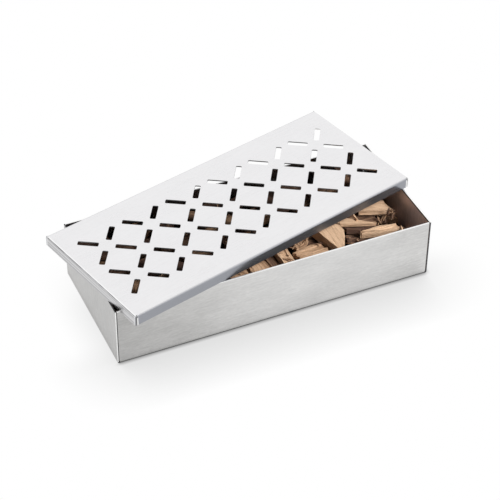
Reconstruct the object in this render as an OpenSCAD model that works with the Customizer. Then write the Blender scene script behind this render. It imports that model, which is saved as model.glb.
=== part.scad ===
// Grill smoker box: a folded sheet steel tray of wood chips under a loose slotted lid.
// The origin is the middle of the tray's underside, +X runs along the tray and +Z is up.
// The lid lies askew on the tray's rim, as it does while the tray is being filled.

/* [Tray] */
// Outside length of the tray
tray_l = 210; // [180:1:240]
// Outside width of the tray
tray_w = 89.5; // [80:0.5:110]
// Height of the tray's walls
tray_h = 41; // [36:1:55]
// Thickness of the sheet that the tray and the lid are folded from
sheet_t = 0.8; // [0.5:0.1:1.2]
// Inside radius of the bends between the tray's floor and its walls
tray_bend = 0.4; // [0.2:0.1:3]
// Gap left open at each corner seam
seam_gap = 0.35; // [0.2:0.05:1]
// How far each long bend stops short of the end walls
corner_relief = 0.3; // [0.2:0.1:1.5]

/* [Lid] */
// Room between the tray's walls and the lid's lips when the lid is closed
lid_clearance = 1; // [0.2:0.1:2]
// Height of the lips, from the top of the lid
lip_h = 7; // [5:0.5:10]
// Inside radius of the bends between the lid's panel and its lips
lid_bend = 0.4; // [0.2:0.1:1.5]
// Angle that the lid is turned by, seen from above
lid_turn = 14.5; // [10:0.5:18]
// How far the middle of the lid lies to the left of the tray's middle
lid_left = 6.2; // [0:0.2:10]
// How far the middle of the lid lies behind the tray's middle
lid_back = 11.5; // [8:0.5:14]

/* [Smoke slots] */
// Length of a slot
slot_l = 13; // [8:0.5:14]
// Width of a slot
slot_w = 3.7; // [2:0.1:4.5]
// Radius of a slot's corners
slot_r = 0.8; // [0.3:0.1:0.9]
// Distance between the middles of slots, both ways
slot_pitch = 16.5; // [15:0.5:20]
// Least distance from the middle of a slot to the edge of the lid
slot_margin = 14; // [10:0.5:15]

/* [Wood chips] */
// Depth of the top of the bed of chips below the rim
bed_drop = 18; // [16:0.5:24]
// Length of the tray's right end that only the lowest chips fill
bare_end = 15; // [8:1:25]
// Chips that lie low along the tray's right end
end_count = 5; // [3:1:6]
// Chips along a layer of the bed
bed_columns = 6; // [3:1:8]
// Chips across a layer of the bed
bed_rows = 3; // [2:1:4]
// Most that a corner of a chip in the bed is cut back
bed_cut = 3; // [1:0.5:5]
// Gap between a chip and what it rests on
chip_gap = 0.3; // [0.1:0.05:0.5]
// Thickness of the thinnest chip spread over the bed
thin_chip = 3.6; // [2:0.1:5]
// Thickness of the thickest chip spread over the bed
thick_chip = 5.8; // [4:0.1:7]
// Most that a corner of a spread chip is cut back
chip_cut = 4.5; // [1:0.5:5]
// Length of the chips that lie across the others
cross_chip_l = 30; // [20:1:34]
// Width of the chips that lie across the others
cross_chip_w = 12; // [8:0.5:14]
// Thickness of the chips that lie across the others
cross_chip_t = 3; // [2:0.1:3.5]
// Length of the short chips between them
short_chip_l = 20; // [12:1:24]
// Width of the short chips
short_chip_w = 9; // [5:0.5:11]
// Thickness of the short chips
short_chip_t = 2.6; // [1.5:0.1:3.5]
// Steepest tilt of a spread or crossing chip, in degrees
chip_tilt = 4; // [0:0.5:5]

/* [Hidden] */
// How far a cut runs past the faces that it goes through
past = 1;
$fn = 48;

// Half the tray's inside length and width, and the heights of the bed and its two layers
inside_x = tray_l / 2 - sheet_t;
inside_y = tray_w / 2 - sheet_t;
bed_top = tray_h - bed_drop;
layer_h = (bed_top - sheet_t) / 2;

// The lid's outside size comes from the tray that it closes over
lid_l = tray_l + 2 * (lid_clearance + sheet_t);
lid_w = tray_w + 2 * (lid_clearance + sheet_t);

// Crosses of four slots that fit on the lid, along it and across it
function crosses(length) = floor((length - 2 * slot_margin + slot_pitch) / (2 * slot_pitch));
slots_along = 2 * crosses(lid_l);
slots_across = 2 * crosses(lid_w);

// The zone along the front wall, the part of it that the corner chips take up, and the stretch of
// the right end that the end chip takes up
front_zone = 35.6;
corner_zone = 132;
end_zone = 31.5;

// Strips of chips spread over the bed: how far each lies from the front wall, its depth, how far it
// stops short of the right wall, and how many chips lie in it
front_strip = front_zone / 2;
rear_strip = (2 * inside_y - front_zone) / 3;
strips = concat(
    [for (k = [0, 1]) [k * front_strip, front_strip, corner_zone, 3]],
    [for (k = [0 : 2]) [front_zone + k * rear_strip, rear_strip, k == 0 ? end_zone : bare_end, 6 + sign(k)]]
);
strip_shift = 5;

// Chips that show at the open front corner, drawn on a grid with 132 steps along their zone. Each has
// its thickness, its tilts about X and Y, and its outline as steps from the right and front walls
corner_step = corner_zone / 132;
corner_chips = [
    [8, [4, -2], [[65, 34.5], [53.5, 35], [47.5, 28.5], [47, 23], [50.5, 15], [54.5, 8], [57.5, 8]]],
    [6, [-3, 1], [[37, 21.5], [23, 22.5], [12, 20], [10.5, 14], [23, 16.5], [36, 20.5]]],
    [4, [2, 3], [[28, 41], [8.3, 34.5], [6.5, 37.5], [7.3, 44.2], [10.5, 48], [18, 52], [27, 51.5]]],
    [4, [2, 3], [[44, 34], [35, 34.5], [29, 25], [35, 24.5], [43, 28]]],
    [8, [3, 3], [[95.5, 30], [86.8, 33], [87.2, 9], [95, 7]]],
    [4.5, [2, -2], [[84, 21], [70, 24.2], [64.5, 23], [62, 16], [63, 9], [76, 8], [82, 14]]],
    [4.5, [-3, -3], [[80.5, 34], [69, 34], [68.5, 30], [72, 25.3], [80, 23.8]]],
    [8, [2, 3], [[116, 28], [107, 27], [104.5, 18], [102.8, 9], [117, 8]]],
    [4, [-3, -3], [[102, 30], [96.2, 31], [95.9, 9], [101.5, 10]]],
    [7.5, [3, -2], [[131, 20], [119, 22], [117.8, 14], [118, 8], [130, 9]]],
    [2.5, [0, 2], [[48.5, 33], [41, 36], [35, 32], [24, 23.5], [46.5, 30.5]]],
    [1.6, [4, 0], [[36.3, 37], [34.7, 36.6], [34.4, 29.5], [35.4, 29.5]]]
];

// Long and short chips that lie across the others: how far their middles lie from the right wall
// and from the front wall, as shares of the tray's inside, and their headings
cross_chips = [
    [0.2, 0.71, 35],
    [0.38, 0.76, -50],
    [0.56, 0.64, 20],
    [0.73, 0.72, 70],
    [0.89, 0.69, -25],
    [0.72, 0.3, -40],
    [0.89, 0.28, 50]
];
short_chips = [
    [0.29, 0.85, -70],
    [0.115, 0.81, 75],
    [0.49, 0.87, 15],
    [0.64, 0.84, -35],
    [0.81, 0.48, 10]
];

// A number from 0 to 1 that differs from chip to chip and from use to use
function vary(n, k) = let (s = n * 0.618 + k * 0.755 + n * k * 0.137) s - floor(s);

// A tilt of either sign, up to the steepest
function lean(n, k) = chip_tilt * (2 * vary(n, k) - 1);

// A point in the tray, from its distances to the right wall and the front wall
function from_corner(d) = [inside_x - d.x, d.y - inside_y];

function middle_of(points) = [for (p = points) 1] * points / len(points);

// A four-cornered cell with its corners drawn in, and one of them cut off
function cell_outline(low, high, cut, n) = [
    [low.x + cut * vary(n, 1), low.y + cut * vary(n, 2)],
    [high.x - cut * vary(n, 3), low.y + cut * vary(n, 4)],
    [high.x - cut * vary(n, 5) / 2, high.y - cut * (1 + vary(n, 6))],
    [high.x - cut * (1 + vary(n, 7)), high.y - cut * vary(n, 8) / 2],
    [low.x + cut * vary(n, 9), high.y - cut * vary(n, 10)]
];

// A long outline with slanted ends about its own middle
function slanted_outline(length, width, n) = let (
    x = length / 2,
    y = width / 2
) [
    [-x + y * vary(n, 1), -y],
    [x - y * vary(n, 2), -y],
    [x, y * (vary(n, 3) - 0.5)],
    [x - y * vary(n, 4), y],
    [-x + y * vary(n, 5), y],
    [-x, y * (vary(n, 6) - 0.5)]
];

function turned(points, heading, place) = [
    for (p = points) [
        place.x + p.x * cos(heading) - p.y * sin(heading),
        place.y + p.x * sin(heading) + p.y * cos(heading)
    ]
];

// How far values have to move to lie between plus and minus a limit
function move_in(values, limit) = max(0, -limit - min(values)) + min(0, limit - max(values));

// An outline moved just clear of any wall that it would reach
function inside_walls(points) = let (
    move = [
        move_in([for (p = points) p.x], inside_x - chip_gap),
        move_in([for (p = points) p.y], inside_y - chip_gap)
    ]
) [for (p = points) p + move];

// A chip before it comes to rest: its thickness, its tilts about X and Y, its outline and, for a chip
// that doesn't lie on the top of the bed, the height of what it lies on
function thickness(chip) = chip[0];
function tilt(chip) = chip[1];
function outline(chip) = chip[2];
function ground(chip) = len(chip) > 3 ? chip[3] : bed_top;

// A low chip at the right end, which lies on the lowest layer of the bed
function end_chip(c, n) = let (
    y_step = 2 * inside_y / end_count
) [
    thin_chip + (thick_chip - thin_chip) * vary(n, 12),
    [lean(n, 13), lean(n, 14)],
    cell_outline(
        [inside_x - bare_end + chip_gap, c * y_step - inside_y + chip_gap],
        [inside_x - chip_gap, (c + 1) * y_step - inside_y - chip_gap],
        chip_cut,
        n
    ),
    sheet_t + layer_h
];

function spread_chip(strip, c, n) = let (
    x_low = chip_gap - inside_x,
    x_step = (inside_x - strip[2] - x_low) / strip[3],
    y_low = strip[0] - inside_y,
    left = c == 0 ? 0 : strip_shift * (vary(n, 11) - 0.5),
    right = c == strip[3] - 1 ? 0 : strip_shift * (vary(n + 1, 11) - 0.5)
) [
    thin_chip + (thick_chip - thin_chip) * vary(n, 12),
    [lean(n, 13), lean(n, 14)],
    cell_outline(
        [x_low + c * x_step + left, y_low + chip_gap],
        [x_low + (c + 1) * x_step + right - chip_gap, y_low + strip[1] - chip_gap],
        chip_cut,
        n
    )
];

function crossing_chips(places, length, width, thick, first) = [
    for (i = [0 : len(places) - 1])
        let (
            n = first + i,
            place = from_corner(2 * [inside_x * places[i].x, inside_y * places[i].y]),
            points = turned(slanted_outline(length, width, n), places[i][2], place)
        )
        [thick, [lean(n, 1), lean(n, 2)], inside_walls(points)]
];

chips = concat(
    [for (c = [0 : end_count - 1]) end_chip(c, 60 + c)],
    [
        for (s = [0 : len(strips) - 1], c = [0 : strips[s][3] - 1])
            spread_chip(strips[s], c, 10 * s + c)
    ],
    [
        for (c = corner_chips)
            [corner_step * thickness(c), tilt(c), [for (d = outline(c)) from_corner(corner_step * d)]]
    ],
    crossing_chips(cross_chips, cross_chip_l, cross_chip_w, cross_chip_t, 0),
    crossing_chips(short_chips, short_chip_l, short_chip_w, short_chip_t, len(cross_chips))
);

// How a chip's faces rise along X and Y, and half its thickness measured upright
function slope(chip) = [-tan(tilt(chip).y), tan(tilt(chip).x) / cos(tilt(chip).y)];
function half_rise(chip) = thickness(chip) / 2 / (cos(tilt(chip).x) * cos(tilt(chip).y));

// Height of a chip's middle plane over a point, with the plane at zero over the chip's middle
function rise_at(chip, p) = slope(chip) * (p - middle_of(outline(chip)));

// Positive where a point lies to the left of the line from a to b
function side_of(a, b, p) = (b.x - a.x) * (p.y - a.y) - (b.y - a.y) * (p.x - a.x);

function holds(points, p) = let (
    n = len(points),
    sides = [for (i = [0 : n - 1]) side_of(points[i], points[(i + 1) % n], p)]
) min(sides) >= 0 || max(sides) <= 0;

// Where two outlines cross each other
function crossings(one, two) = [
    for (i = [0 : len(one) - 1])
        let (a = one[i], b = one[(i + 1) % len(one)])
        for (j = [0 : len(two) - 1])
            let (
                c = two[j],
                d = two[(j + 1) % len(two)],
                from_a = side_of(c, d, a),
                from_b = side_of(c, d, b)
            )
            if (from_a * from_b < 0 && side_of(a, b, c) * side_of(a, b, d) < 0)
                a + (b - a) * from_a / (from_a - from_b)
];

// Corners of the area where two outlines lie over each other
function shared_corners(one, two) = concat(
    [for (p = one) if (holds(two, p)) p],
    [for (p = two) if (holds(one, p)) p],
    crossings(one, two)
);

function reach(points) = let (m = middle_of(points)) max([for (p = points) norm(p - m)]);

// Whether two outlines may lie over each other at all
function near(one, two) = norm(middle_of(one) - middle_of(two)) < reach(one) + reach(two);

// The lowest that a chip can lie on its ground and on the chips before it without touching them
function rest_height(chip, heights) = max(concat(
    [for (p = outline(chip)) ground(chip) - rise_at(chip, p)],
    [
        for (i = [0 : 1 : len(heights) - 1])
            let (under = chips[i])
            if (near(outline(chip), outline(under)))
                for (p = shared_corners(outline(chip), outline(under)))
                    heights[i] + rise_at(under, p) + half_rise(under) - rise_at(chip, p)
    ]
)) + half_rise(chip) + chip_gap;

// Heights of the chips' middles, found one after another
function settle(heights = []) = len(heights) == len(chips)
    ? heights
    : settle(concat(heights, [rest_height(chips[len(heights)], heights)]));
chip_heights = settle();

function numbered(name, n) = str(name, n < 10 ? "0" : "", n);
function chip_name(i) = i < end_count
    ? numbered("wood_chip_end_", i + 1)
    : numbered("wood_chip_", i + 1 - end_count);

// Section of a wall that is bent up from a floor lying along +X, with its outer corner at the origin
module wall_section(height, bend) {
    outer = bend + sheet_t;
    translate([outer, outer])
        intersection() {
            difference() {
                circle(outer);
                circle(bend);
            }
            translate([-outer, -outer]) square(outer);
        }
    translate([0, outer]) square([sheet_t, height - outer]);
}

// A wall along Y on the left side of a floor. Its bend and its flat each have a length of their own
module bent_wall(bend_run, wall_run, height, bend) {
    foot = bend + sheet_t + corner_relief;
    rotate([90, 0, 0])
        linear_extrude(bend_run, center = true) wall_section(height, bend);
    translate([0, -wall_run / 2, foot]) cube([sheet_t, wall_run, height - foot]);
}

// An open box folded from one blank, with its floor on the ground and its end walls over the long ones
module folded_box(length, width, height, bend) {
    outer = bend + sheet_t;
    long_bend = length - 2 * (outer + corner_relief);
    long_wall = length - 2 * (sheet_t + seam_gap);
    translate([outer - length / 2, outer - width / 2, 0])
        cube([length - 2 * outer, width - 2 * outer, sheet_t]);
    for (side = [0, 180])
        rotate(side) {
            translate([-length / 2, 0, 0]) bent_wall(width, width, height, bend);
            rotate(90)
                translate([-width / 2, 0, 0]) bent_wall(long_bend, long_wall, height, bend);
        }
}

module slot_shape() {
    square([slot_l - 2 * slot_r, slot_w], center = true);
    square([slot_l, slot_w - 2 * slot_r], center = true);
    for (x = [-1, 1], y = [-1, 1])
        translate([x * (slot_l / 2 - slot_r), y * (slot_w / 2 - slot_r)]) circle(slot_r);
}

// Slots on a square grid, turned one way and the other by turns, so that each four make a cross
module smoke_slots() {
    for (i = [0 : slots_along - 1], j = [0 : slots_across - 1])
        translate([
            (i - (slots_along - 1) / 2) * slot_pitch,
            (j - (slots_across - 1) / 2) * slot_pitch
        ])
            rotate((i + j) % 2 == 0 ? 45 : -45) slot_shape();
}

// A flat slab cut to an outline and tilted, with its middle plane at a height over its middle
module chip_solid(chip, height) {
    middle = middle_of(outline(chip));
    span = 2 * (reach(outline(chip)) + thickness(chip));
    intersection() {
        translate([0, 0, height - span / 2]) linear_extrude(span) polygon(outline(chip));
        translate([middle.x, middle.y, height])
            rotate([tilt(chip).x, tilt(chip).y, 0])
                cube([2 * span, 2 * span, thickness(chip)], center = true);
    }
}

// One layer of the bed: flat chips in rows, clear of the bends and up to a distance from the right end
module bed_layer(level, right_gap) {
    margin = tray_bend + chip_gap;
    low = [margin - inside_x, margin - inside_y];
    step = [(-2 * low.x - right_gap) / bed_columns, -2 * low.y / bed_rows];
    for (i = [0 : bed_columns - 1], j = [0 : bed_rows - 1])
        translate([0, 0, sheet_t + level * layer_h + chip_gap])
            linear_extrude(layer_h - chip_gap)
                polygon(cell_outline(
                    [low.x + i * step.x, low.y + j * step.y],
                    [low.x + (i + 1) * step.x - chip_gap, low.y + (j + 1) * step.y - chip_gap],
                    bed_cut,
                    (level * bed_columns + i) * bed_rows + j
                ));
}

module tray() {
    color("lightgray") folded_box(tray_l, tray_w, tray_h, tray_bend);
}

// The lid is a shallow box turned over, whose lips stand on the tray's rim
module lid() {
    color("gainsboro")
        translate([-lid_left, lid_back, tray_h + lip_h])
            rotate(lid_turn)
                difference() {
                    mirror([0, 0, 1]) folded_box(lid_l, lid_w, lip_h, lid_bend);
                    translate([0, 0, -sheet_t - past])
                        linear_extrude(sheet_t + 2 * past) smoke_slots();
                }
}

module wood_chips_bottom() {
    color("saddlebrown") bed_layer(0, 0);
}

module wood_chips_middle() {
    color("sienna") bed_layer(1, bare_end);
}

module wood_chip(i) {
    color("burlywood") chip_solid(chips[i], chip_heights[i]);
}

tray();
lid();
wood_chips_bottom();
wood_chips_middle();
for (i = [0 : len(chips) - 1])
    wood_chip(i);
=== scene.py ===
"""Looks of a grill smoker box: a folded steel tray of wood chips under a loose slotted lid.

Lengths are in metres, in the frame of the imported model: the origin is the middle of the tray's
underside, +X runs along the tray and +Z is up.
"""

import logging
import math
from abc import ABC, abstractmethod
from collections.abc import Callable
from dataclasses import dataclass, field
from enum import Enum
from typing import Union

import bpy
import numpy as np
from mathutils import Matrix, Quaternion, Vector

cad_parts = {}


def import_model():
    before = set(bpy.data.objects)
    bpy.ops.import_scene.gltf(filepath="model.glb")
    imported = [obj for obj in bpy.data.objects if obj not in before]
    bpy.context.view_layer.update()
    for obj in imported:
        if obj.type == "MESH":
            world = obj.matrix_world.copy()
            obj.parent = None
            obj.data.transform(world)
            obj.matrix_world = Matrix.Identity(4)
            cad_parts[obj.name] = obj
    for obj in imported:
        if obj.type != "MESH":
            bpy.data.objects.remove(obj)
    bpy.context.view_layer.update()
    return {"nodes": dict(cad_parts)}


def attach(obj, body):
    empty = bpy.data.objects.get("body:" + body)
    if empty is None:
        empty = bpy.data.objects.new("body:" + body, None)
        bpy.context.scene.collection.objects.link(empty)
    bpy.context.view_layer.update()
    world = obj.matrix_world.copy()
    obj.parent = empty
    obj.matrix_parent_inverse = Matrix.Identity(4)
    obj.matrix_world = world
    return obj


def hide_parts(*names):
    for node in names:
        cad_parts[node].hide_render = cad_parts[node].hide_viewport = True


LOG = logging.getLogger("smoker_box")
MM = 0.001
# Room for rounding where lengths are compared
SLACK = 0.01 * MM
# Steps per metre of the raster on which points of a blank are welded
WELD_STEPS = 1e7
QUARTER_TURN = np.array([[0, 1], [-1, 0]])

Array = np.ndarray
Triple = tuple[float, float, float]
Colour = Triple
Span = tuple[float, float]
Number = Union[float, "Value"]
Socket = bpy.types.NodeSocket


class ChipTone(Enum):
    """How light the wood of a chip is, from 0 for dark heartwood to 1 for pale sapwood."""

    PALE = 0.92
    TAN = 0.7
    BROWN = 0.42
    DARK = 0.2
    BARK = 0.0


class ChipDetail(Enum):
    """Steps of a chip's grid: around it, over its top, down its side and over its underside."""

    FINE = (150, 15, 9, 5)
    COARSE = (64, 7, 5, 3)


class EdgeKind(Enum):
    """Finishes of a folded sheet, by their place in its list of materials."""

    SHEET = 0
    RIM = 1
    # Cut edges whose dark grey is painted shade
    SEAM = 2


def smooth_step(run: Span, values: Array) -> Array:
    """Rises from 0 at the start of a span to 1 at its end along a smooth curve."""
    t = np.clip((values - run[0]) / (run[1] - run[0]), 0, 1)
    return t * t * (3 - 2 * t)


def turning(angle: float) -> Array:
    """Matrix that turns rows of x and y anticlockwise."""
    return np.array([[math.cos(angle), math.sin(angle)], [-math.sin(angle), math.cos(angle)]])


def past(place: float, first: float, last: float) -> Span:
    """Runs from one distance to another past a place, both in millimetres."""
    return place + first * MM, place + last * MM


def put(name: str, data: bpy.types.ID) -> bpy.types.Object:
    """Makes an object of a mesh, a lamp or a camera, and puts it into the scene.

    Args:
        name: Name of the object.
        data: What it shows.

    Returns:
        The object, at the origin.
    """
    made = bpy.data.objects.new(name, data)
    bpy.context.scene.collection.objects.link(made)
    return made


@dataclass(frozen=True)
class MeshParts:
    """Arrays of a mesh.

    Args:
        points: Corners, one row of x, y and z each.
        quads: Indices of four-sided faces.
        triangles: Indices of three-sided faces.
        values: Named numbers or vectors at the corners.
        kinds: Which finish each four-sided face has, or empty where there is only one.
    """

    points: Array
    quads: Array
    triangles: Array = field(default_factory=lambda: np.zeros((0, 3), int))
    values: dict[str, Array] = field(default_factory=dict)
    kinds: Array = field(default_factory=lambda: np.zeros(0, int))

    @staticmethod
    def joined(parts: list["MeshParts"]) -> "MeshParts":
        """Puts several meshes of one finish, with the same named values, into one.

        Args:
            parts: The meshes.

        Returns:
            One mesh with the points and faces of all of them.
        """
        starts = np.cumsum([0] + [len(p.points) for p in parts[:-1]])
        return MeshParts(
            np.concatenate([p.points for p in parts]),
            np.concatenate([p.quads + s for p, s in zip(parts, starts)]),
            np.concatenate([p.triangles + s for p, s in zip(parts, starts)]),
            {k: np.concatenate([p.values[k] for p in parts]) for k in parts[0].values},
        )

    def piece(
        self, name: str, materials: list[bpy.types.Material], body: str, slot: str
    ) -> bpy.types.Object:
        """Makes a Blender object that rides on a body of the frame.

        Args:
            name: Name of the object and its mesh.
            materials: Its finishes, in the order of the kinds of its faces.
            body: Body that it moves with.
            slot: Material slot of the record; not used.

        Returns:
            The object, at the origin with its place in its mesh.
        """
        corners = np.concatenate([self.quads.ravel(), self.triangles.ravel()])
        sides = np.concatenate([np.full(len(self.quads), 4), np.full(len(self.triangles), 3)])
        mesh = bpy.data.meshes.new(name)
        mesh.vertices.add(len(self.points))
        mesh.vertices.foreach_set("co", self.points.astype(np.float32).ravel())
        mesh.loops.add(len(corners))
        mesh.loops.foreach_set("vertex_index", corners.astype(np.int32))
        mesh.polygons.add(len(sides))
        starts = np.concatenate([[0], np.cumsum(sides)[:-1]])
        mesh.polygons.foreach_set("loop_start", starts.astype(np.int32))
        mesh.polygons.foreach_set("use_smooth", np.ones(len(sides), bool))
        if len(self.kinds):
            mesh.polygons.foreach_set("material_index", self.kinds.astype(np.int32))
        for key, value in self.values.items():
            self._store(mesh, key, value, corners)
        mesh.update(calc_edges=True)
        mesh.validate()
        for material in materials:
            mesh.materials.append(material)
        made = put(name, mesh)
        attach(made, body)
        LOG.info("%s: %d faces", name, len(mesh.polygons))
        return made

    @staticmethod
    def _store(mesh: bpy.types.Mesh, key: str, value: Array, corners: Array) -> None:
        """Stores a pair per point as a UV map, and a number or vector as an attribute.

        Args:
            mesh: The mesh.
            key: Name of the map or attribute.
            value: One row or number for each point.
            corners: Point at each corner of the faces.
        """
        if value.ndim == 2 and value.shape[1] == 2:
            layer = mesh.uv_layers.new(name=key)
            layer.uv.foreach_set("vector", value[corners].astype(np.float32).ravel())
        elif value.ndim == 2:
            layer = mesh.attributes.new(key, "FLOAT_VECTOR", "POINT")
            layer.data.foreach_set("vector", value.astype(np.float32).ravel())
        else:
            layer = mesh.attributes.new(key, "FLOAT", "POINT")
            layer.data.foreach_set("value", value.astype(np.float32))


@dataclass(frozen=True)
class Relief:
    """A layer of noise on a chip.

    Args:
        share: How strong it is.
        cells: Size of its cells along two or three coordinates, in millimetres.
        shift: Number that sets it apart from other layers.
    """

    share: float
    cells: tuple[float, ...]
    shift: float = 0.0


class Noise:
    """Smooth noise that is the same on each run."""

    def __init__(self, seed: int) -> None:
        """Keeps the seed that sets this noise apart from others."""
        self.seed = np.uint32(seed * 2654435761 % 2**32)

    def _corner(self, cells: Array) -> Array:
        """Scrambles whole-numbered cells.

        Args:
            cells: Rows of their x, y and z.

        Returns:
            Numbers from -1 to 1.
        """
        x, y, z = cells.astype(np.int64).astype(np.uint32)
        h = x * np.uint32(0x8DA6B343) ^ y * np.uint32(0xD8163841) ^ z * np.uint32(0xCB1AB31F) ^ self.seed
        h = (h ^ (h >> np.uint32(13))) * np.uint32(0x5BD1E995)
        h = (h ^ (h >> np.uint32(15))) * np.uint32(0x27D4EB2D)
        return (h ^ (h >> np.uint32(16))) / 2.0**31 - 1

    def at(self, x: Array, y: Array, z: Array) -> Array:
        """Blends the numbers at the eight corners of each point's cell, with smoothed weights.

        Args:
            x: First coordinates, with one cell per unit.
            y: Second coordinates.
            z: Third coordinates.

        Returns:
            Numbers from -1 to 1 in the shape that the coordinates share.
        """
        points = np.stack(np.broadcast_arrays(x, y, z)).astype(float)
        low = np.floor(points)
        part = points - low
        weight = part * part * (3 - 2 * part)
        total = np.zeros(points.shape[1:])
        for corner in np.ndindex(2, 2, 2):
            step = np.array(corner).reshape((3,) + (1,) * (points.ndim - 1))
            total += np.prod(np.where(step == 1, weight, 1 - weight), axis=0) * self._corner(low + step)
        return total

    def layered(self, layers: tuple[Relief, ...], *places: Array) -> Array:
        """Adds up layers of noise, each on as many of the coordinates as it has cell sizes.

        Args:
            layers: The layers.
            places: Coordinates in metres.

        Returns:
            Numbers in the shape of the coordinates.
        """
        total = np.zeros_like(places[0])
        for layer in layers:
            x, y, *rest = (place / (cell * MM) for place, cell in zip(places, layer.cells))
            total += layer.share * self.at(x, y, sum(rest) + layer.shift)
        return total


class Value:
    """A number that a shader works out at each point, for use in expressions."""

    def __init__(self, graph: "Graph", socket: Socket) -> None:
        """Wraps an output socket of a graph."""
        self.graph = graph
        self.socket = socket

    def __add__(self, other: Number) -> "Value":
        """Adds a number."""
        return self.graph.math("ADD", self, other)

    __radd__ = __add__

    def __sub__(self, other: Number) -> "Value":
        """Subtracts a number."""
        return self.graph.math("SUBTRACT", self, other)

    def __rsub__(self, other: Number) -> "Value":
        """Subtracts this from a number."""
        return self.graph.math("SUBTRACT", other, self)

    def __mul__(self, other: Number) -> "Value":
        """Multiplies by a number."""
        return self.graph.math("MULTIPLY", self, other)

    __rmul__ = __mul__

    def fraction(self) -> "Value":
        """Keeps the part after the point."""
        return self.graph.math("FRACT", self)

    def size(self) -> "Value":
        """Takes the sign away."""
        return self.graph.math("ABSOLUTE", self)

    def most(self, other: Number) -> "Value":
        """Takes the larger of this and a number."""
        return self.graph.math("MAXIMUM", self, other)

    def ramp(self, low: float, high: float) -> "Value":
        """Rises smoothly from 0 at low to 1 at high.

        Args:
            low: Where the rise begins.
            high: Where it ends.

        Returns:
            A number from 0 to 1.
        """
        inputs = {"Value": self, "From Min": low, "From Max": high}
        node = self.graph.add("ShaderNodeMapRange", {"interpolation_type": "SMOOTHSTEP"}, inputs)
        return Value(self.graph, node.outputs["Result"])

    def band(self, rise: Span | None, fall: Span | None) -> Number:
        """Rises smoothly from 0 to 1 over one span and falls back over another.

        Args:
            rise: Where it rises, or None if it begins at 1.
            fall: Where it falls, or None if it stays at 1.

        Returns:
            A number from 0 to 1.
        """
        level = self.ramp(*rise) if rise else 1.0
        return level * (1.0 - self.ramp(*fall)) if fall else level

    def between(self, low: float, high: float) -> "Value":
        """Takes 0 to one number and 1 to another."""
        return self * (high - low) + low


@dataclass(frozen=True)
class Pattern:
    """Noise on a surface, and what it does there.

    Args:
        scale: Steps per metre along each coordinate.
        detail: How many finer copies it has.
        shade: How much it lightens the colour.
        rough: How much it roughens the surface.
        height: How much it raises the surface.
    """

    scale: Triple
    detail: float = 2.0
    shade: float = 0.0
    rough: float = 0.0
    height: float = 0.0


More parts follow.
